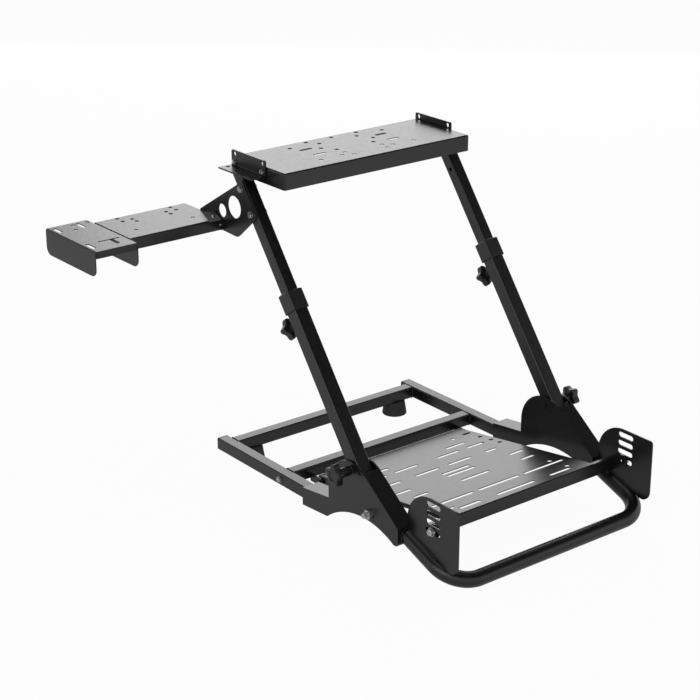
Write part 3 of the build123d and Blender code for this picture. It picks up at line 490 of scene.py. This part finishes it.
class WHEELSTAND_OT_front_loop(bpy.types.Operator):
    """Bent round tube at the front, swept along its line."""

    bl_idname = "wheel_stand.front_loop"
    bl_label = "Front loop"

    def execute(self, context):
        tree, given = node_tree("Bent tube", ["Bend radius", "Tube radius"])
        path = add_node(tree, "GeometryNodeMeshToCurve", {"Mesh": given.outputs["Geometry"]})
        bent = add_node(tree, "GeometryNodeFilletCurve", {"Curve": path.outputs[0], "Count": 24,
                                                          "Radius": given.outputs["Bend radius"]}, mode="POLY")
        ring = add_node(tree, "GeometryNodeCurvePrimitiveCircle", {"Resolution": 40,
                                                                   "Radius": given.outputs["Tube radius"]})
        tube = add_node(tree, "GeometryNodeCurveToMesh", {"Curve": bent.outputs[0], "Fill Caps": True,
                                                          "Profile Curve": ring.outputs[0]})
        end_tree(tree, tube.outputs[0], powder_coat())
        loop = grow("front_loop_finish", polylines("loop_line", [(loop_line(), False)]), tree,
                    {"Bend radius": sizes().loop_bend, "Tube radius": sizes().loop_tube / 2})
        smooth_by_angle(loop.data, ROUNDED_ANGLE)
        settle(loop, "base", ["front_loop"])
        return {"FINISHED"}


class WHEELSTAND_OT_pedal_plate(bpy.types.Operator):
    """Slotted pedal plate and its front bar."""

    bl_idname = "wheel_stand.pedal_plate"
    bl_label = "Pedal plate"

    def execute(self, context):
        for node in ("pedal_plate", "pedal_front_bar"):
            dress(node, sizes().edge_round)
        return {"FINISHED"}


class WHEELSTAND_OT_uprights(bpy.types.Operator):
    """Lower and upper tubes of the uprights."""

    bl_idname = "wheel_stand.uprights"
    bl_label = "Uprights"

    def execute(self, context):
        dress_both(["lower_tube", "upper_tube"], sizes().edge_round)
        return {"FINISHED"}


class WHEELSTAND_OT_wheel_deck(bpy.types.Operator):
    """Wheel deck and the angle brackets at its ends."""

    bl_idname = "wheel_stand.wheel_deck"
    bl_label = "Wheel deck"

    def execute(self, context):
        dress("wheel_deck", sizes().edge_round)
        dress_both(["deck_ear"], sizes().edge_round)
        return {"FINISHED"}


class WHEELSTAND_OT_shifter_mount(bpy.types.Operator):
    """Gusset, arm and tray of the shifter mount."""

    bl_idname = "wheel_stand.shifter_mount"
    bl_label = "Shifter mount"

    def execute(self, context):
        for node in ("shifter_gusset", "shifter_arm", "shifter_tray"):
            dress(node, sizes().edge_round)
        return {"FINISHED"}


class WHEELSTAND_OT_plastic_fittings(bpy.types.Operator):
    """Collars at the mouths of the lower tubes and caps in the rails."""

    bl_idname = "wheel_stand.plastic_fittings"
    bl_label = "Collars and caps"

    def execute(self, context):
        dress_both(["collar", "rail_cap"], sizes().moulded_round)
        return {"FINISHED"}


class WHEELSTAND_OT_rubber_feet(bpy.types.Operator):
    """Tapered rubber feet under the rear cross tube."""

    bl_idname = "wheel_stand.rubber_feet"
    bl_label = "Rubber feet"

    def execute(self, context):
        dress_both(["rubber_foot"], sizes().moulded_round)
        return {"FINISHED"}


RIDGE_SHARE = 0.4           # thread's ridge as a share of its pitch


class WHEELSTAND_OT_pivot_bolts(bpy.types.Operator):
    """Pivot bolts of the uprights and the heads of the lock bolts."""

    bl_idname = "wheel_stand.pivot_bolts"
    bl_label = "Pivot and lock bolts"

    def execute(self, context):
        size = sizes()
        dress_both(["pivot_bolt", "lock_bolt_head"], size.nut_round)
        tree, given = node_tree("Thread", ["Thread radius", "Thread length", "Turns", "Ridge"])
        coil = add_node(tree, "GeometryNodeCurveSpiral", {"Resolution": 24, "Rotations": given.outputs["Turns"],
                                                          "Start Radius": given.outputs["Thread radius"],
                                                          "End Radius": given.outputs["Thread radius"],
                                                          "Height": given.outputs["Thread length"]})
        ridge = add_node(tree, "GeometryNodeCurvePrimitiveCircle", {"Resolution": 4,
                                                                    "Radius": given.outputs["Ridge"]})
        thread = add_node(tree, "GeometryNodeCurveToMesh", {"Curve": coil.outputs[0], "Fill Caps": True,
                                                            "Profile Curve": ridge.outputs[0]})
        facing = add_node(tree, "GeometryNodeInputNamedAttribute", {"Name": "facing"}, data_type="FLOAT_VECTOR")
        turn = add_node(tree, "FunctionNodeAlignRotationToVector", {"Vector": facing.outputs[0]}, axis="Z")
        placed = add_node(tree, "GeometryNodeInstanceOnPoints", {"Points": given.outputs["Geometry"],
                                                                 "Instance": thread.outputs[0],
                                                                 "Rotation": turn.outputs[0]})
        end_tree(tree, placed.outputs[0], zinc_plate())
        places = []
        for word, side in SIDES:
            end = outer_x(f"pivot_bolt_{word}", side) - side * size.thread_length
            places.append((Vector((end, PIVOT.y, PIVOT.z)), Vector((side, 0, 0)), 1.0))
        cut = size.thread_length - size.thread_pitch / 2
        values = {"Thread radius": size.thread_radius, "Thread length": cut, "Turns": cut / size.thread_pitch,
                  "Ridge": size.thread_pitch * RIDGE_SHARE}
        threads = grow("pivot_threads", facing_points("pivot_thread_places", places), tree, values)
        settle(threads, "base")
        return {"FINISHED"}


LOBES = 5
LOBE_POINT = 1.3            # over 1 makes the lobes pointed and the valleys wide
KNOB_STEPS = 90
KNOB_SHARP_ANGLE = 50       # degrees
EDGE_TURNS = (0.4, 0.8, 1.2)    # radians round a knob's rounded edges


def star_outline(radius, valley, angle):
    """Radius of a lobed star at an angle: pointed lobes with shallow valleys."""
    lobe = (1 + cos(LOBES * angle)) / 2
    return valley + (radius - valley) * lobe ** LOBE_POINT


def knob_mesh(name, neck):
    """A star knob along +Z: a waisted neck, a lobed grip with rounded edges and a sunk cap in its top."""
    size = sizes()
    top = neck + size.knob_grip
    edge = size.knob_edge
    hub = size.knob_neck_radius
    # Each ring: height, share of the star's lobes, and how far it is drawn in from the full outline
    rings = [(0.0, 0.0, -size.knob_flare), (size.knob_foot, 0.0, 0.0)]
    rings += [(neck - size.knob_blend, 0.0, 0.0), (neck, 0.5, 0.0)]
    rings += [(neck + edge * (1 - cos(a)), 1.0, edge * (1 - sin(a))) for a in (*EDGE_TURNS, pi / 2)]
    rings += [(top - edge * (1 - sin(a)), 1.0, edge * (1 - cos(a))) for a in (0.0, *EDGE_TURNS)]
    rings += [(top, 1.0, edge), (top, 0.0, -size.knob_rim), (top - size.knob_sink, 0.0, size.knob_taper)]
    shape = bmesh.new()
    loops = []
    for height, share, drawn in rings:
        loop = []
        for k in range(KNOB_STEPS):
            angle = 2 * pi * k / KNOB_STEPS
            star = star_outline(size.knob_radius, size.knob_valley, angle)
            radius = hub + (star - hub) * share - drawn
            loop.append(shape.verts.new((radius * cos(angle), radius * sin(angle), height)))
        loops.append(loop)
    for low, high in zip(loops, loops[1:]):
        for k in range(KNOB_STEPS):
            after = (k + 1) % KNOB_STEPS
            shape.faces.new((low[k], low[after], high[after], high[k]))
    shape.faces.new(list(reversed(loops[0])))
    shape.faces.new(loops[-1])
    mesh = bpy.data.meshes.new(name)
    shape.to_mesh(mesh)
    shape.free()
    smooth_by_angle(mesh, KNOB_SHARP_ANGLE)
    return mesh


class WHEELSTAND_OT_star_knobs(bpy.types.Operator):
    """Star knobs that lock the fold and clamp the height."""

    bl_idname = "wheel_stand.star_knobs"
    bl_label = "Star knobs"

    def execute(self, context):
        for word, side in SIDES:
            low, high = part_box(f"lock_bolt_head_{word}")
            seat = Vector((outer_x(f"base_bracket_{word}", side), (low.y + high.y) / 2, (low.z + high.z) / 2))
            self.fit(f"lock_knob_{word}", sizes().lock_neck, seat, Vector((side, 0, 0)), Vector((0, 0, -side)))
            low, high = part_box(f"lower_tube_{word}")
            seat = upright_point((low.x + high.x) / 2, sizes().height_place) + REARWARD * (high.x - low.x) / 2
            self.fit(f"height_knob_{word}", sizes().height_neck, seat, REARWARD, Vector((-1, 0, 0)))
        return {"FINISHED"}

    def fit(self, node, neck, seat, outward, lobe):
        """Puts a knob on its seat: outward is its axis and lobe the way of its first lobe."""
        mesh = knob_mesh(f"{node}_finish", neck)
        turn = Matrix((lobe, outward.cross(lobe), outward)).transposed()
        mesh.transform(Matrix.Translation(seat) @ turn.to_4x4())
        mesh.materials.append(moulded_nylon())
        settle(new_object(mesh.name, mesh), BODY_OF[node], [node])


SEAM_STEPS = 24             # points of the weld round the loop's tube


def square_line(middle, across, up, half, corner):
    """A closed square round a tube, with cut corners, in the plane of two directions."""
    line = []
    for k in range(4):
        turn = Matrix.Rotation(k * pi / 2, 2)
        for a, b in ((half, corner - half), (half, half - corner)):
            u, v = turn @ Vector((a, b))
            line.append(middle + across * u + up * v)
    return line


def tube_seams():
    """Weld lines of the base: cross tubes on the rails, the loop on the brackets, side plates on the loop."""
    lines = []
    for node in ("rear_cross_tube", "middle_cross_tube"):
        low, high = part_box(node)
        middle = (low + high) / 2
        for x in (low.x, high.x):
            ring = square_line(Vector((x, middle.y, middle.z)), Vector((0, 1, 0)), Vector((0, 0, 1)),
                               (high.z - low.z) / 2, sizes().tube_corner)
            lines.append((ring, True))
    corners = loop_line()
    radius = sizes().loop_tube / 2
    for rear, front in ((corners[0], corners[1]), (corners[3], corners[2])):
        leg = (rear - front).normalized()
        over = leg.cross(Vector((1, 0, 0))).normalized()
        over = over if over.z > 0 else -over
        turns = [2 * pi * k / SEAM_STEPS for k in range(SEAM_STEPS)]
        ring = [rear + Vector((1, 0, 0)) * radius * cos(a) + over * radius * sin(a) / leg.y for a in turns]
        lines.append(([Vector((p.x, rear.y, p.z)) for p in ring], True))
        sheet = sizes().sheet / 2
        for x in (-sheet, sheet):
            start = front + leg * sizes().loop_bend + over * radius + Vector((x, 0, 0))
            lines.append(([start, rear + over * radius + Vector((x, 0, 0))], False))
    return lines


def ear_seams():
    """Weld lines between the upper tubes and the deck's angle brackets."""
    lines = []
    for word, _ in SIDES:
        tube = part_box(f"upper_tube_{word}")
        x = (tube[0].x + tube[1].x) / 2
        half = (tube[1].x - tube[0].x) / 2
        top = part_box(f"deck_ear_{word}")[0].z
        middle = upright_point(x, upright_top())
        across = half / UPRIGHT.z
        corners = ((-1, -1), (1, -1), (1, 1), (-1, 1))
        lines.append(([Vector((x + a * half, middle.y + b * across, top)) for a, b in corners], True))
    return lines


ARM_SEAM_INSET = 3.2 * MM   # from the arm's outer end
ARM_SEAM_DROP = 3.3 * MM    # below the tray's top
ARM_SEAM_SHORT = 4.0 * MM   # seam's ends inside the arm's edges
TRAY_SEAM_INSET = 3.0 * MM  # from the tray's sides
TRAY_SEAM_BEHIND = 1.2 * MM    # from the tray's front
TRAY_SEAM_DROPS = (3.0 * MM, 12.5 * MM)    # seam's ends below the tray's top


def shifter_seams():
    """Weld lines under the outer edge of the shifter arm's top and at the tray's two front corners."""
    low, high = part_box("shifter_arm")
    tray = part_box("shifter_tray")
    top = tray[1].z
    x = low.x + ARM_SEAM_INSET
    z = top - ARM_SEAM_DROP
    lines = [([Vector((x, low.y + ARM_SEAM_SHORT, z)), Vector((x, high.y - ARM_SEAM_SHORT, z))], False)]
    y = tray[0].y + TRAY_SEAM_BEHIND
    for x in (tray[0].x + TRAY_SEAM_INSET, tray[1].x - TRAY_SEAM_INSET):
        lines.append(([Vector((x, y, top - drop)) for drop in TRAY_SEAM_DROPS], False))
    return lines


BEAD_SCALE = (0.8, 1.15)    # smallest and largest ripple of a weld
BEAD_SEED = 7


class WHEELSTAND_OT_welds(bpy.types.Operator):
    """Weld beads where tubes and plates meet."""

    bl_idname = "wheel_stand.welds"
    bl_label = "Weld beads"

    def execute(self, context):
        tree, given = node_tree("Weld bead", ["Bead radius", "Pitch"])
        path = add_node(tree, "GeometryNodeMeshToCurve", {"Mesh": given.outputs["Geometry"]})
        steps = add_node(tree, "GeometryNodeResampleCurve", {"Curve": path.outputs[0],
                                                             "Length": given.outputs["Pitch"]}, mode="LENGTH")
        drop = add_node(tree, "GeometryNodeMeshUVSphere", {"Segments": 10, "Rings": 6,
                                                           "Radius": given.outputs["Bead radius"]})
        tangent = add_node(tree, "GeometryNodeInputTangent")
        turn = add_node(tree, "FunctionNodeAlignRotationToVector", {"Vector": tangent.outputs[0]}, axis="Z")
        smallest, largest = BEAD_SCALE
        uneven = add_node(tree, "FunctionNodeRandomValue", {2: smallest, 3: largest, "Seed": BEAD_SEED},
                          data_type="FLOAT")
        bead = add_node(tree, "GeometryNodeInstanceOnPoints", {"Points": steps.outputs[0],
                                                               "Instance": drop.outputs[0],
                                                               "Rotation": turn.outputs[0],
                                                               "Scale": uneven.outputs[1]})
        end_tree(tree, bead.outputs[0], powder_coat())
        for name, body, lines in (("base_welds", "base", tube_seams()),
                                  ("deck_welds", "head", ear_seams() + shifter_seams())):
            bead = grow(name, polylines(f"{name}_lines", lines), tree,
                        {"Bead radius": sizes().weld_bead, "Pitch": sizes().weld_pitch})
            bead.data.shade_smooth()
            settle(bead, body)
        return {"FINISHED"}


# Bolts as shares of an M8 one
GUSSET_BOLT = 0.8
ARM_BOLT = 0.4
DECK_BOLT = 0.65
RAIL_BOLT = 0.75
PEDAL_BOLT = 1.0
RIDING_GAP = 0.1 * MM       # between the pedal bolts and the side plates that they ride on


def head_bolts():
    """Bolts of the head: gusset on its tube, arm on the gusset and deck on its angle brackets."""
    size = sizes()
    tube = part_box("upper_tube_left")
    gusset_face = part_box("shifter_gusset")[0].x
    places = []
    top = upright_top() - size.gusset_bolt_drop
    for along in (top, top - size.gusset_bolt_step):
        places.append((upright_point(gusset_face, along), Vector((-1, 0, 0)), GUSSET_BOLT))
        places.append((upright_point(tube[1].x, along), Vector((1, 0, 0)), GUSSET_BOLT))
    arm_bolt = upright_point(gusset_face - size.sheet, top)
    arm_bolt += Vector((0, size.arm_bolt_behind, -size.arm_bolt_below))
    for step in (0, 1):
        place = arm_bolt - Vector((0, size.arm_bolt_ahead, size.arm_bolt_lower)) * step
        places.append((place, Vector((-1, 0, 0)), ARM_BOLT))
    for word, side in SIDES:
        low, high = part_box(f"deck_ear_{word}")
        wall = outer_x("wheel_deck", side) + side * size.sheet
        for y in (low.y + size.ear_bolt_inset, high.y - size.ear_bolt_inset):
            places.append((Vector((wall, y, high.z - size.ear_bolt_drop)), Vector((side, 0, 0)), DECK_BOLT))
    return places


def base_bolts():
    """Bolts of the base: the middle cross tube through the rails."""
    places = []
    low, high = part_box("middle_cross_tube")
    for word, side in SIDES:
        place = Vector((outer_x(f"rail_{word}", side), (low.y + high.y) / 2, (low.z + high.z) / 2))
        places.append((place, Vector((side, 0, 0)), RAIL_BOLT))
    return places


def pedal_bolts():
    """Bolts of the pedal plate, through the lowest slot of each side plate."""
    low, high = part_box("pedal_front_bar")
    radius = sizes().tab_radius
    places = []
    for word, side in SIDES:
        face = outer_x(f"side_plate_{word}", side) + side * RIDING_GAP
        places.append((Vector((face, low.y + radius, high.z - radius)), Vector((side, 0, 0)), PEDAL_BOLT))
    return places


FLATS_SHARE = 0.78          # straight part of a bolt's head
CROWN_SHARE = 0.22          # tapered part of a bolt's head
CROWN_TOP = 0.82            # width of the tapered part's top


class WHEELSTAND_OT_bolts(bpy.types.Operator):
    """Zinc-plated bolts with washers."""

    bl_idname = "wheel_stand.bolts"
    bl_label = "Bolts"

    def execute(self, context):
        names = ["Head radius", "Head height", "Washer radius", "Washer thickness"]
        tree, given = node_tree("Hexagon bolts", names)
        half = add_node(tree, "ShaderNodeMath", {0: given.outputs["Washer thickness"], 1: 0.5},
                        operation="MULTIPLY")
        rise = add_node(tree, "ShaderNodeCombineXYZ", {"Z": half.outputs[0]})
        washer = add_node(tree, "GeometryNodeMeshCylinder", {"Vertices": 28, "Radius": given.outputs["Washer radius"],
                                                             "Depth": given.outputs["Washer thickness"]})
        washer = add_node(tree, "GeometryNodeTransform", {"Geometry": washer.outputs[0],
                                                          "Translation": rise.outputs[0]})
        body = add_node(tree, "ShaderNodeMath", {0: given.outputs["Head height"], 1: FLATS_SHARE},
                        operation="MULTIPLY")
        lid = add_node(tree, "ShaderNodeMath", {0: given.outputs["Head height"], 1: CROWN_SHARE},
                       operation="MULTIPLY")
        seat = add_node(tree, "ShaderNodeCombineXYZ", {"Z": given.outputs["Washer thickness"]})
        crown_seat = add_node(tree, "ShaderNodeMath", {0: given.outputs["Washer thickness"], 1: body.outputs[0]},
                              operation="ADD")
        crown_rise = add_node(tree, "ShaderNodeCombineXYZ", {"Z": crown_seat.outputs[0]})
        narrow = add_node(tree, "ShaderNodeMath", {0: given.outputs["Head radius"], 1: CROWN_TOP},
                          operation="MULTIPLY")
        flats = add_node(tree, "GeometryNodeMeshCone", {"Vertices": 6, "Depth": body.outputs[0],
                                                        "Radius Top": given.outputs["Head radius"],
                                                        "Radius Bottom": given.outputs["Head radius"]})
        flats = add_node(tree, "GeometryNodeTransform", {"Geometry": flats.outputs[0],
                                                         "Translation": seat.outputs[0]})
        crown = add_node(tree, "GeometryNodeMeshCone", {"Vertices": 6, "Depth": lid.outputs[0],
                                                        "Radius Top": narrow.outputs[0],
                                                        "Radius Bottom": given.outputs["Head radius"]})
        crown = add_node(tree, "GeometryNodeTransform", {"Geometry": crown.outputs[0],
                                                         "Translation": crown_rise.outputs[0]})
        bolt = add_node(tree, "GeometryNodeJoinGeometry")
        for part in (washer, flats, crown):
            tree.links.new(part.outputs[0], bolt.inputs[0])
        facing = add_node(tree, "GeometryNodeInputNamedAttribute", {"Name": "facing"}, data_type="FLOAT_VECTOR")
        turn = add_node(tree, "FunctionNodeAlignRotationToVector", {"Vector": facing.outputs[0]}, axis="Z")
        share = add_node(tree, "GeometryNodeInputNamedAttribute", {"Name": "share"}, data_type="FLOAT")
        placed = add_node(tree, "GeometryNodeInstanceOnPoints", {"Points": given.outputs["Geometry"],
                                                                 "Instance": bolt.outputs[0],
                                                                 "Rotation": turn.outputs[0],
                                                                 "Scale": share.outputs[0]})
        end_tree(tree, placed.outputs[0], zinc_plate())
        size = sizes()
        values = {"Head radius": size.bolt_flats / 3 ** 0.5, "Head height": size.bolt_head,
                  "Washer radius": size.washer_radius, "Washer thickness": size.washer_sheet}
        for name, body, places in (("head_bolts", "head", head_bolts()), ("base_bolts", "base", base_bolts()),
                                   ("pedal_bolts", "pedals", pedal_bolts())):
            points = facing_points(f"{name}_places", places)
            settle(grow(name, points, tree, values), body)
        return {"FINISHED"}


# Stage

# Camera that was fitted to the photograph: metres from the pivot, degrees, and millimetres of lens and sensor
CAMERA_FROM_PIVOT = (-2.14506, -2.33304, 1.49991)
CAMERA_DOWN = 21.526
CAMERA_TURN = -38.225
CAMERA_LENS = 95.25
CAMERA_SENSOR = 36.0
CAMERA_REACH = 100.0

# Each soft box: name, place, the point that it looks at, width, height and brightness as seen
SOFT_BOXES = (
    ("low_soft_box", (2.7, 2.9, 0.8), (0, 0, 0.4), 4.5, 1.6, 1.4),
    ("high_soft_box", (3.0, 2.6, 2.35), (0, 0, 0.4), 4.0, 1.3, 2.8),
    ("top_soft_box", (0, 0, 3.2), (0, 0, 0), 2.5, 2.5, 1.0),
    ("left_soft_box", (-2.4, -1.1, 1.7), (0, 0, 0.35), 2.4, 1.6, 1.6),
    ("floor_soft_box", (1.0, -1.35, 0.02), (1.0, -1.35, 1.0), 1.3, 1.1, 0.5),
)
WHITE = (1, 1, 1, 1)
WORLD_LIGHT = 0.6           # brightness of the world as a lamp; seen and mirrored it is white
FLOOR_SEEN = 0.96           # share of plain white in the floor that the camera sees
FLOOR_MIRRORED = 0.4        # share of plain white in the floor that the stand mirrors
FLOOR_WIDTH = 24.0
FLOOR_DROP = 0.5 * MM       # floor below the feet
CARD_WIDTH = 10.0
CARD_HEIGHT = 3.4


def area_light(name, place, target, width, height, radiance):
    """A soft box that looks at a point, with its brightness as seen."""
    light = bpy.data.lights.new(name, "AREA")
    light.shape = "RECTANGLE"
    light.size = width
    light.size_y = height
    light.energy = radiance * pi * width * height
    obj = new_object(name, light)
    obj.location = place
    obj.rotation_euler = (Vector(target) - Vector(place)).to_track_quat("-Z", "Y").to_euler()
    obj.visible_camera = False


def square_mesh(name, width, material):
    """A flat square round the origin."""
    half = width / 2
    corners = [(-half, -half, 0), (half, -half, 0), (half, half, 0), (-half, half, 0)]
    mesh = bpy.data.meshes.new(name)
    mesh.from_pydata(corners, [], [(0, 1, 2, 3)])
    mesh.materials.append(material)
    return mesh


def seen_share(tree, straight, mirrored):
    """One share for what the camera sees, also through glass, another for what it sees mirrored, and else 0."""
    path = add_node(tree, "ShaderNodeLightPath")
    rays = path.outputs
    clear = add_node(tree, "ShaderNodeMath", {0: rays["Is Camera Ray"], 1: rays["Is Transmission Ray"]},
                     operation="MAXIMUM")
    clear = add_node(tree, "ShaderNodeMath", {0: clear.outputs[0], 1: straight}, operation="MULTIPLY")
    mirror = add_node(tree, "ShaderNodeMath", {0: rays["Is Glossy Ray"], 1: mirrored}, operation="MULTIPLY")
    share = add_node(tree, "ShaderNodeMath", {0: clear.outputs[0], 1: mirror.outputs[0]}, operation="MAXIMUM")
    return share.outputs[0]


class WHEELSTAND_OT_stage(bpy.types.Operator):
    """White studio: world, floor, soft boxes, a black card and the camera."""

    bl_idname = "wheel_stand.stage"
    bl_label = "Studio"

    def execute(self, context):
        scene = context.scene
        scene.view_settings.view_transform = "Standard"
        scene.world = self.world()
        self.floor()
        for box in SOFT_BOXES:
            area_light(*box)
        self.card()
        scene.camera = self.camera()
        return {"FINISHED"}

    def world(self):
        """A world that is white where it is seen or mirrored, and dimmer as a lamp."""
        world = bpy.data.worlds.new("white_studio")
        world.use_nodes = True
        tree = world.node_tree
        tree.nodes.clear()
        level = add_node(tree, "ShaderNodeMapRange", {"Value": seen_share(tree, 1.0, 1.0), "To Min": WORLD_LIGHT,
                                                      "To Max": 1.0})
        sky = add_node(tree, "ShaderNodeBackground", {"Color": WHITE, "Strength": level.outputs[0]})
        add_node(tree, "ShaderNodeOutputWorld", {"Surface": sky.outputs[0]})
        return world

    def floor(self):
        """A paper floor that the camera sees as white."""
        material, tree = new_material("matt_studio_paper")
        paper = add_node(tree, "ShaderNodeBsdfDiffuse", {"Color": colours().floor})
        glow = add_node(tree, "ShaderNodeEmission", {"Color": WHITE, "Strength": 1.0})
        share = seen_share(tree, FLOOR_SEEN, FLOOR_MIRRORED)
        mixed = add_node(tree, "ShaderNodeMixShader", {0: share, 1: paper.outputs[0], 2: glow.outputs[0]})
        add_node(tree, "ShaderNodeOutputMaterial", {"Surface": mixed.outputs[0]})
        floor = new_object("studio_floor", square_mesh("studio_floor", FLOOR_WIDTH, material))
        floor.location.z = -FLOOR_DROP

    def card(self):
        """A matt black card over the stand, which the leaning faces mirror instead of the white room."""
        material, tree = new_material("matt_black_card")
        matt = add_node(tree, "ShaderNodeBsdfDiffuse", {"Color": colours().card})
        add_node(tree, "ShaderNodeOutputMaterial", {"Surface": matt.outputs[0]})
        card = new_object("black_flag", square_mesh("black_flag", CARD_WIDTH, material))
        card.location.z = CARD_HEIGHT
        card.visible_camera = False
        card.visible_diffuse = False
        card.visible_shadow = False

    def camera(self):
        """The photograph's camera."""
        lens = bpy.data.cameras.new("camera")
        lens.lens = CAMERA_LENS
        lens.sensor_width = CAMERA_SENSOR
        lens.clip_end = CAMERA_REACH
        camera = new_object("camera", lens)
        camera.location = PIVOT + Vector(CAMERA_FROM_PIVOT)
        camera.rotation_euler = (radians(90 - CAMERA_DOWN), 0, radians(CAMERA_TURN))
        return camera


class WHEELSTAND_PT_panel(bpy.types.Panel):
    """Settings and steps of the wheel stand."""

    bl_idname = "WHEELSTAND_PT_panel"
    bl_label = "Wheel Stand"
    bl_space_type = "VIEW_3D"
    bl_region_type = "UI"
    bl_category = "Wheel Stand"

    def draw(self, context):
        settings = context.scene.wheel_stand
        for group in (settings.sizes, settings.colours):
            box = self.layout.box()
            for name in group.bl_rna.properties.keys():
                if name not in ("rna_type", "name"):
                    box.prop(group, name)
        for step in STEPS:
            self.layout.operator(step.bl_idname)


STEPS = (
    WHEELSTAND_OT_base_frame,
    WHEELSTAND_OT_brackets,
    WHEELSTAND_OT_front_loop,
    WHEELSTAND_OT_pedal_plate,
    WHEELSTAND_OT_uprights,
    WHEELSTAND_OT_wheel_deck,
    WHEELSTAND_OT_shifter_mount,
    WHEELSTAND_OT_plastic_fittings,
    WHEELSTAND_OT_rubber_feet,
    WHEELSTAND_OT_pivot_bolts,
    WHEELSTAND_OT_star_knobs,
    WHEELSTAND_OT_welds,
    WHEELSTAND_OT_bolts,
    WHEELSTAND_OT_stage,
)
CLASSES = (StandSizes, StandColours, StandSettings) + STEPS + (WHEELSTAND_PT_panel,)


def register():
    """Registers the classes and the scene's settings."""
    for cls in CLASSES:
        bpy.utils.register_class(cls)
    bpy.types.Scene.wheel_stand = bpy.props.PointerProperty(type=StandSettings)


def unregister():
    """Takes the settings and the classes away again."""
    del bpy.types.Scene.wheel_stand
    for cls in reversed(CLASSES):
        bpy.utils.unregister_class(cls)


def main():
    """Builds the whole stand."""
    register()
    for obj in list(bpy.data.objects):
        if obj.get("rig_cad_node") is None and obj not in frame["bodies"].values():
            bpy.data.objects.remove(obj)
    bpy.ops.wheel_stand.base_frame()
    bpy.ops.wheel_stand.brackets()
    bpy.ops.wheel_stand.front_loop()
    bpy.ops.wheel_stand.pedal_plate()
    bpy.ops.wheel_stand.uprights()
    bpy.ops.wheel_stand.wheel_deck()
    bpy.ops.wheel_stand.shifter_mount()
    bpy.ops.wheel_stand.plastic_fittings()
    bpy.ops.wheel_stand.rubber_feet()
    bpy.ops.wheel_stand.pivot_bolts()
    bpy.ops.wheel_stand.star_knobs()
    bpy.ops.wheel_stand.welds()
    bpy.ops.wheel_stand.bolts()
    bpy.ops.wheel_stand.stage()


if __name__ == "__main__":
    main()
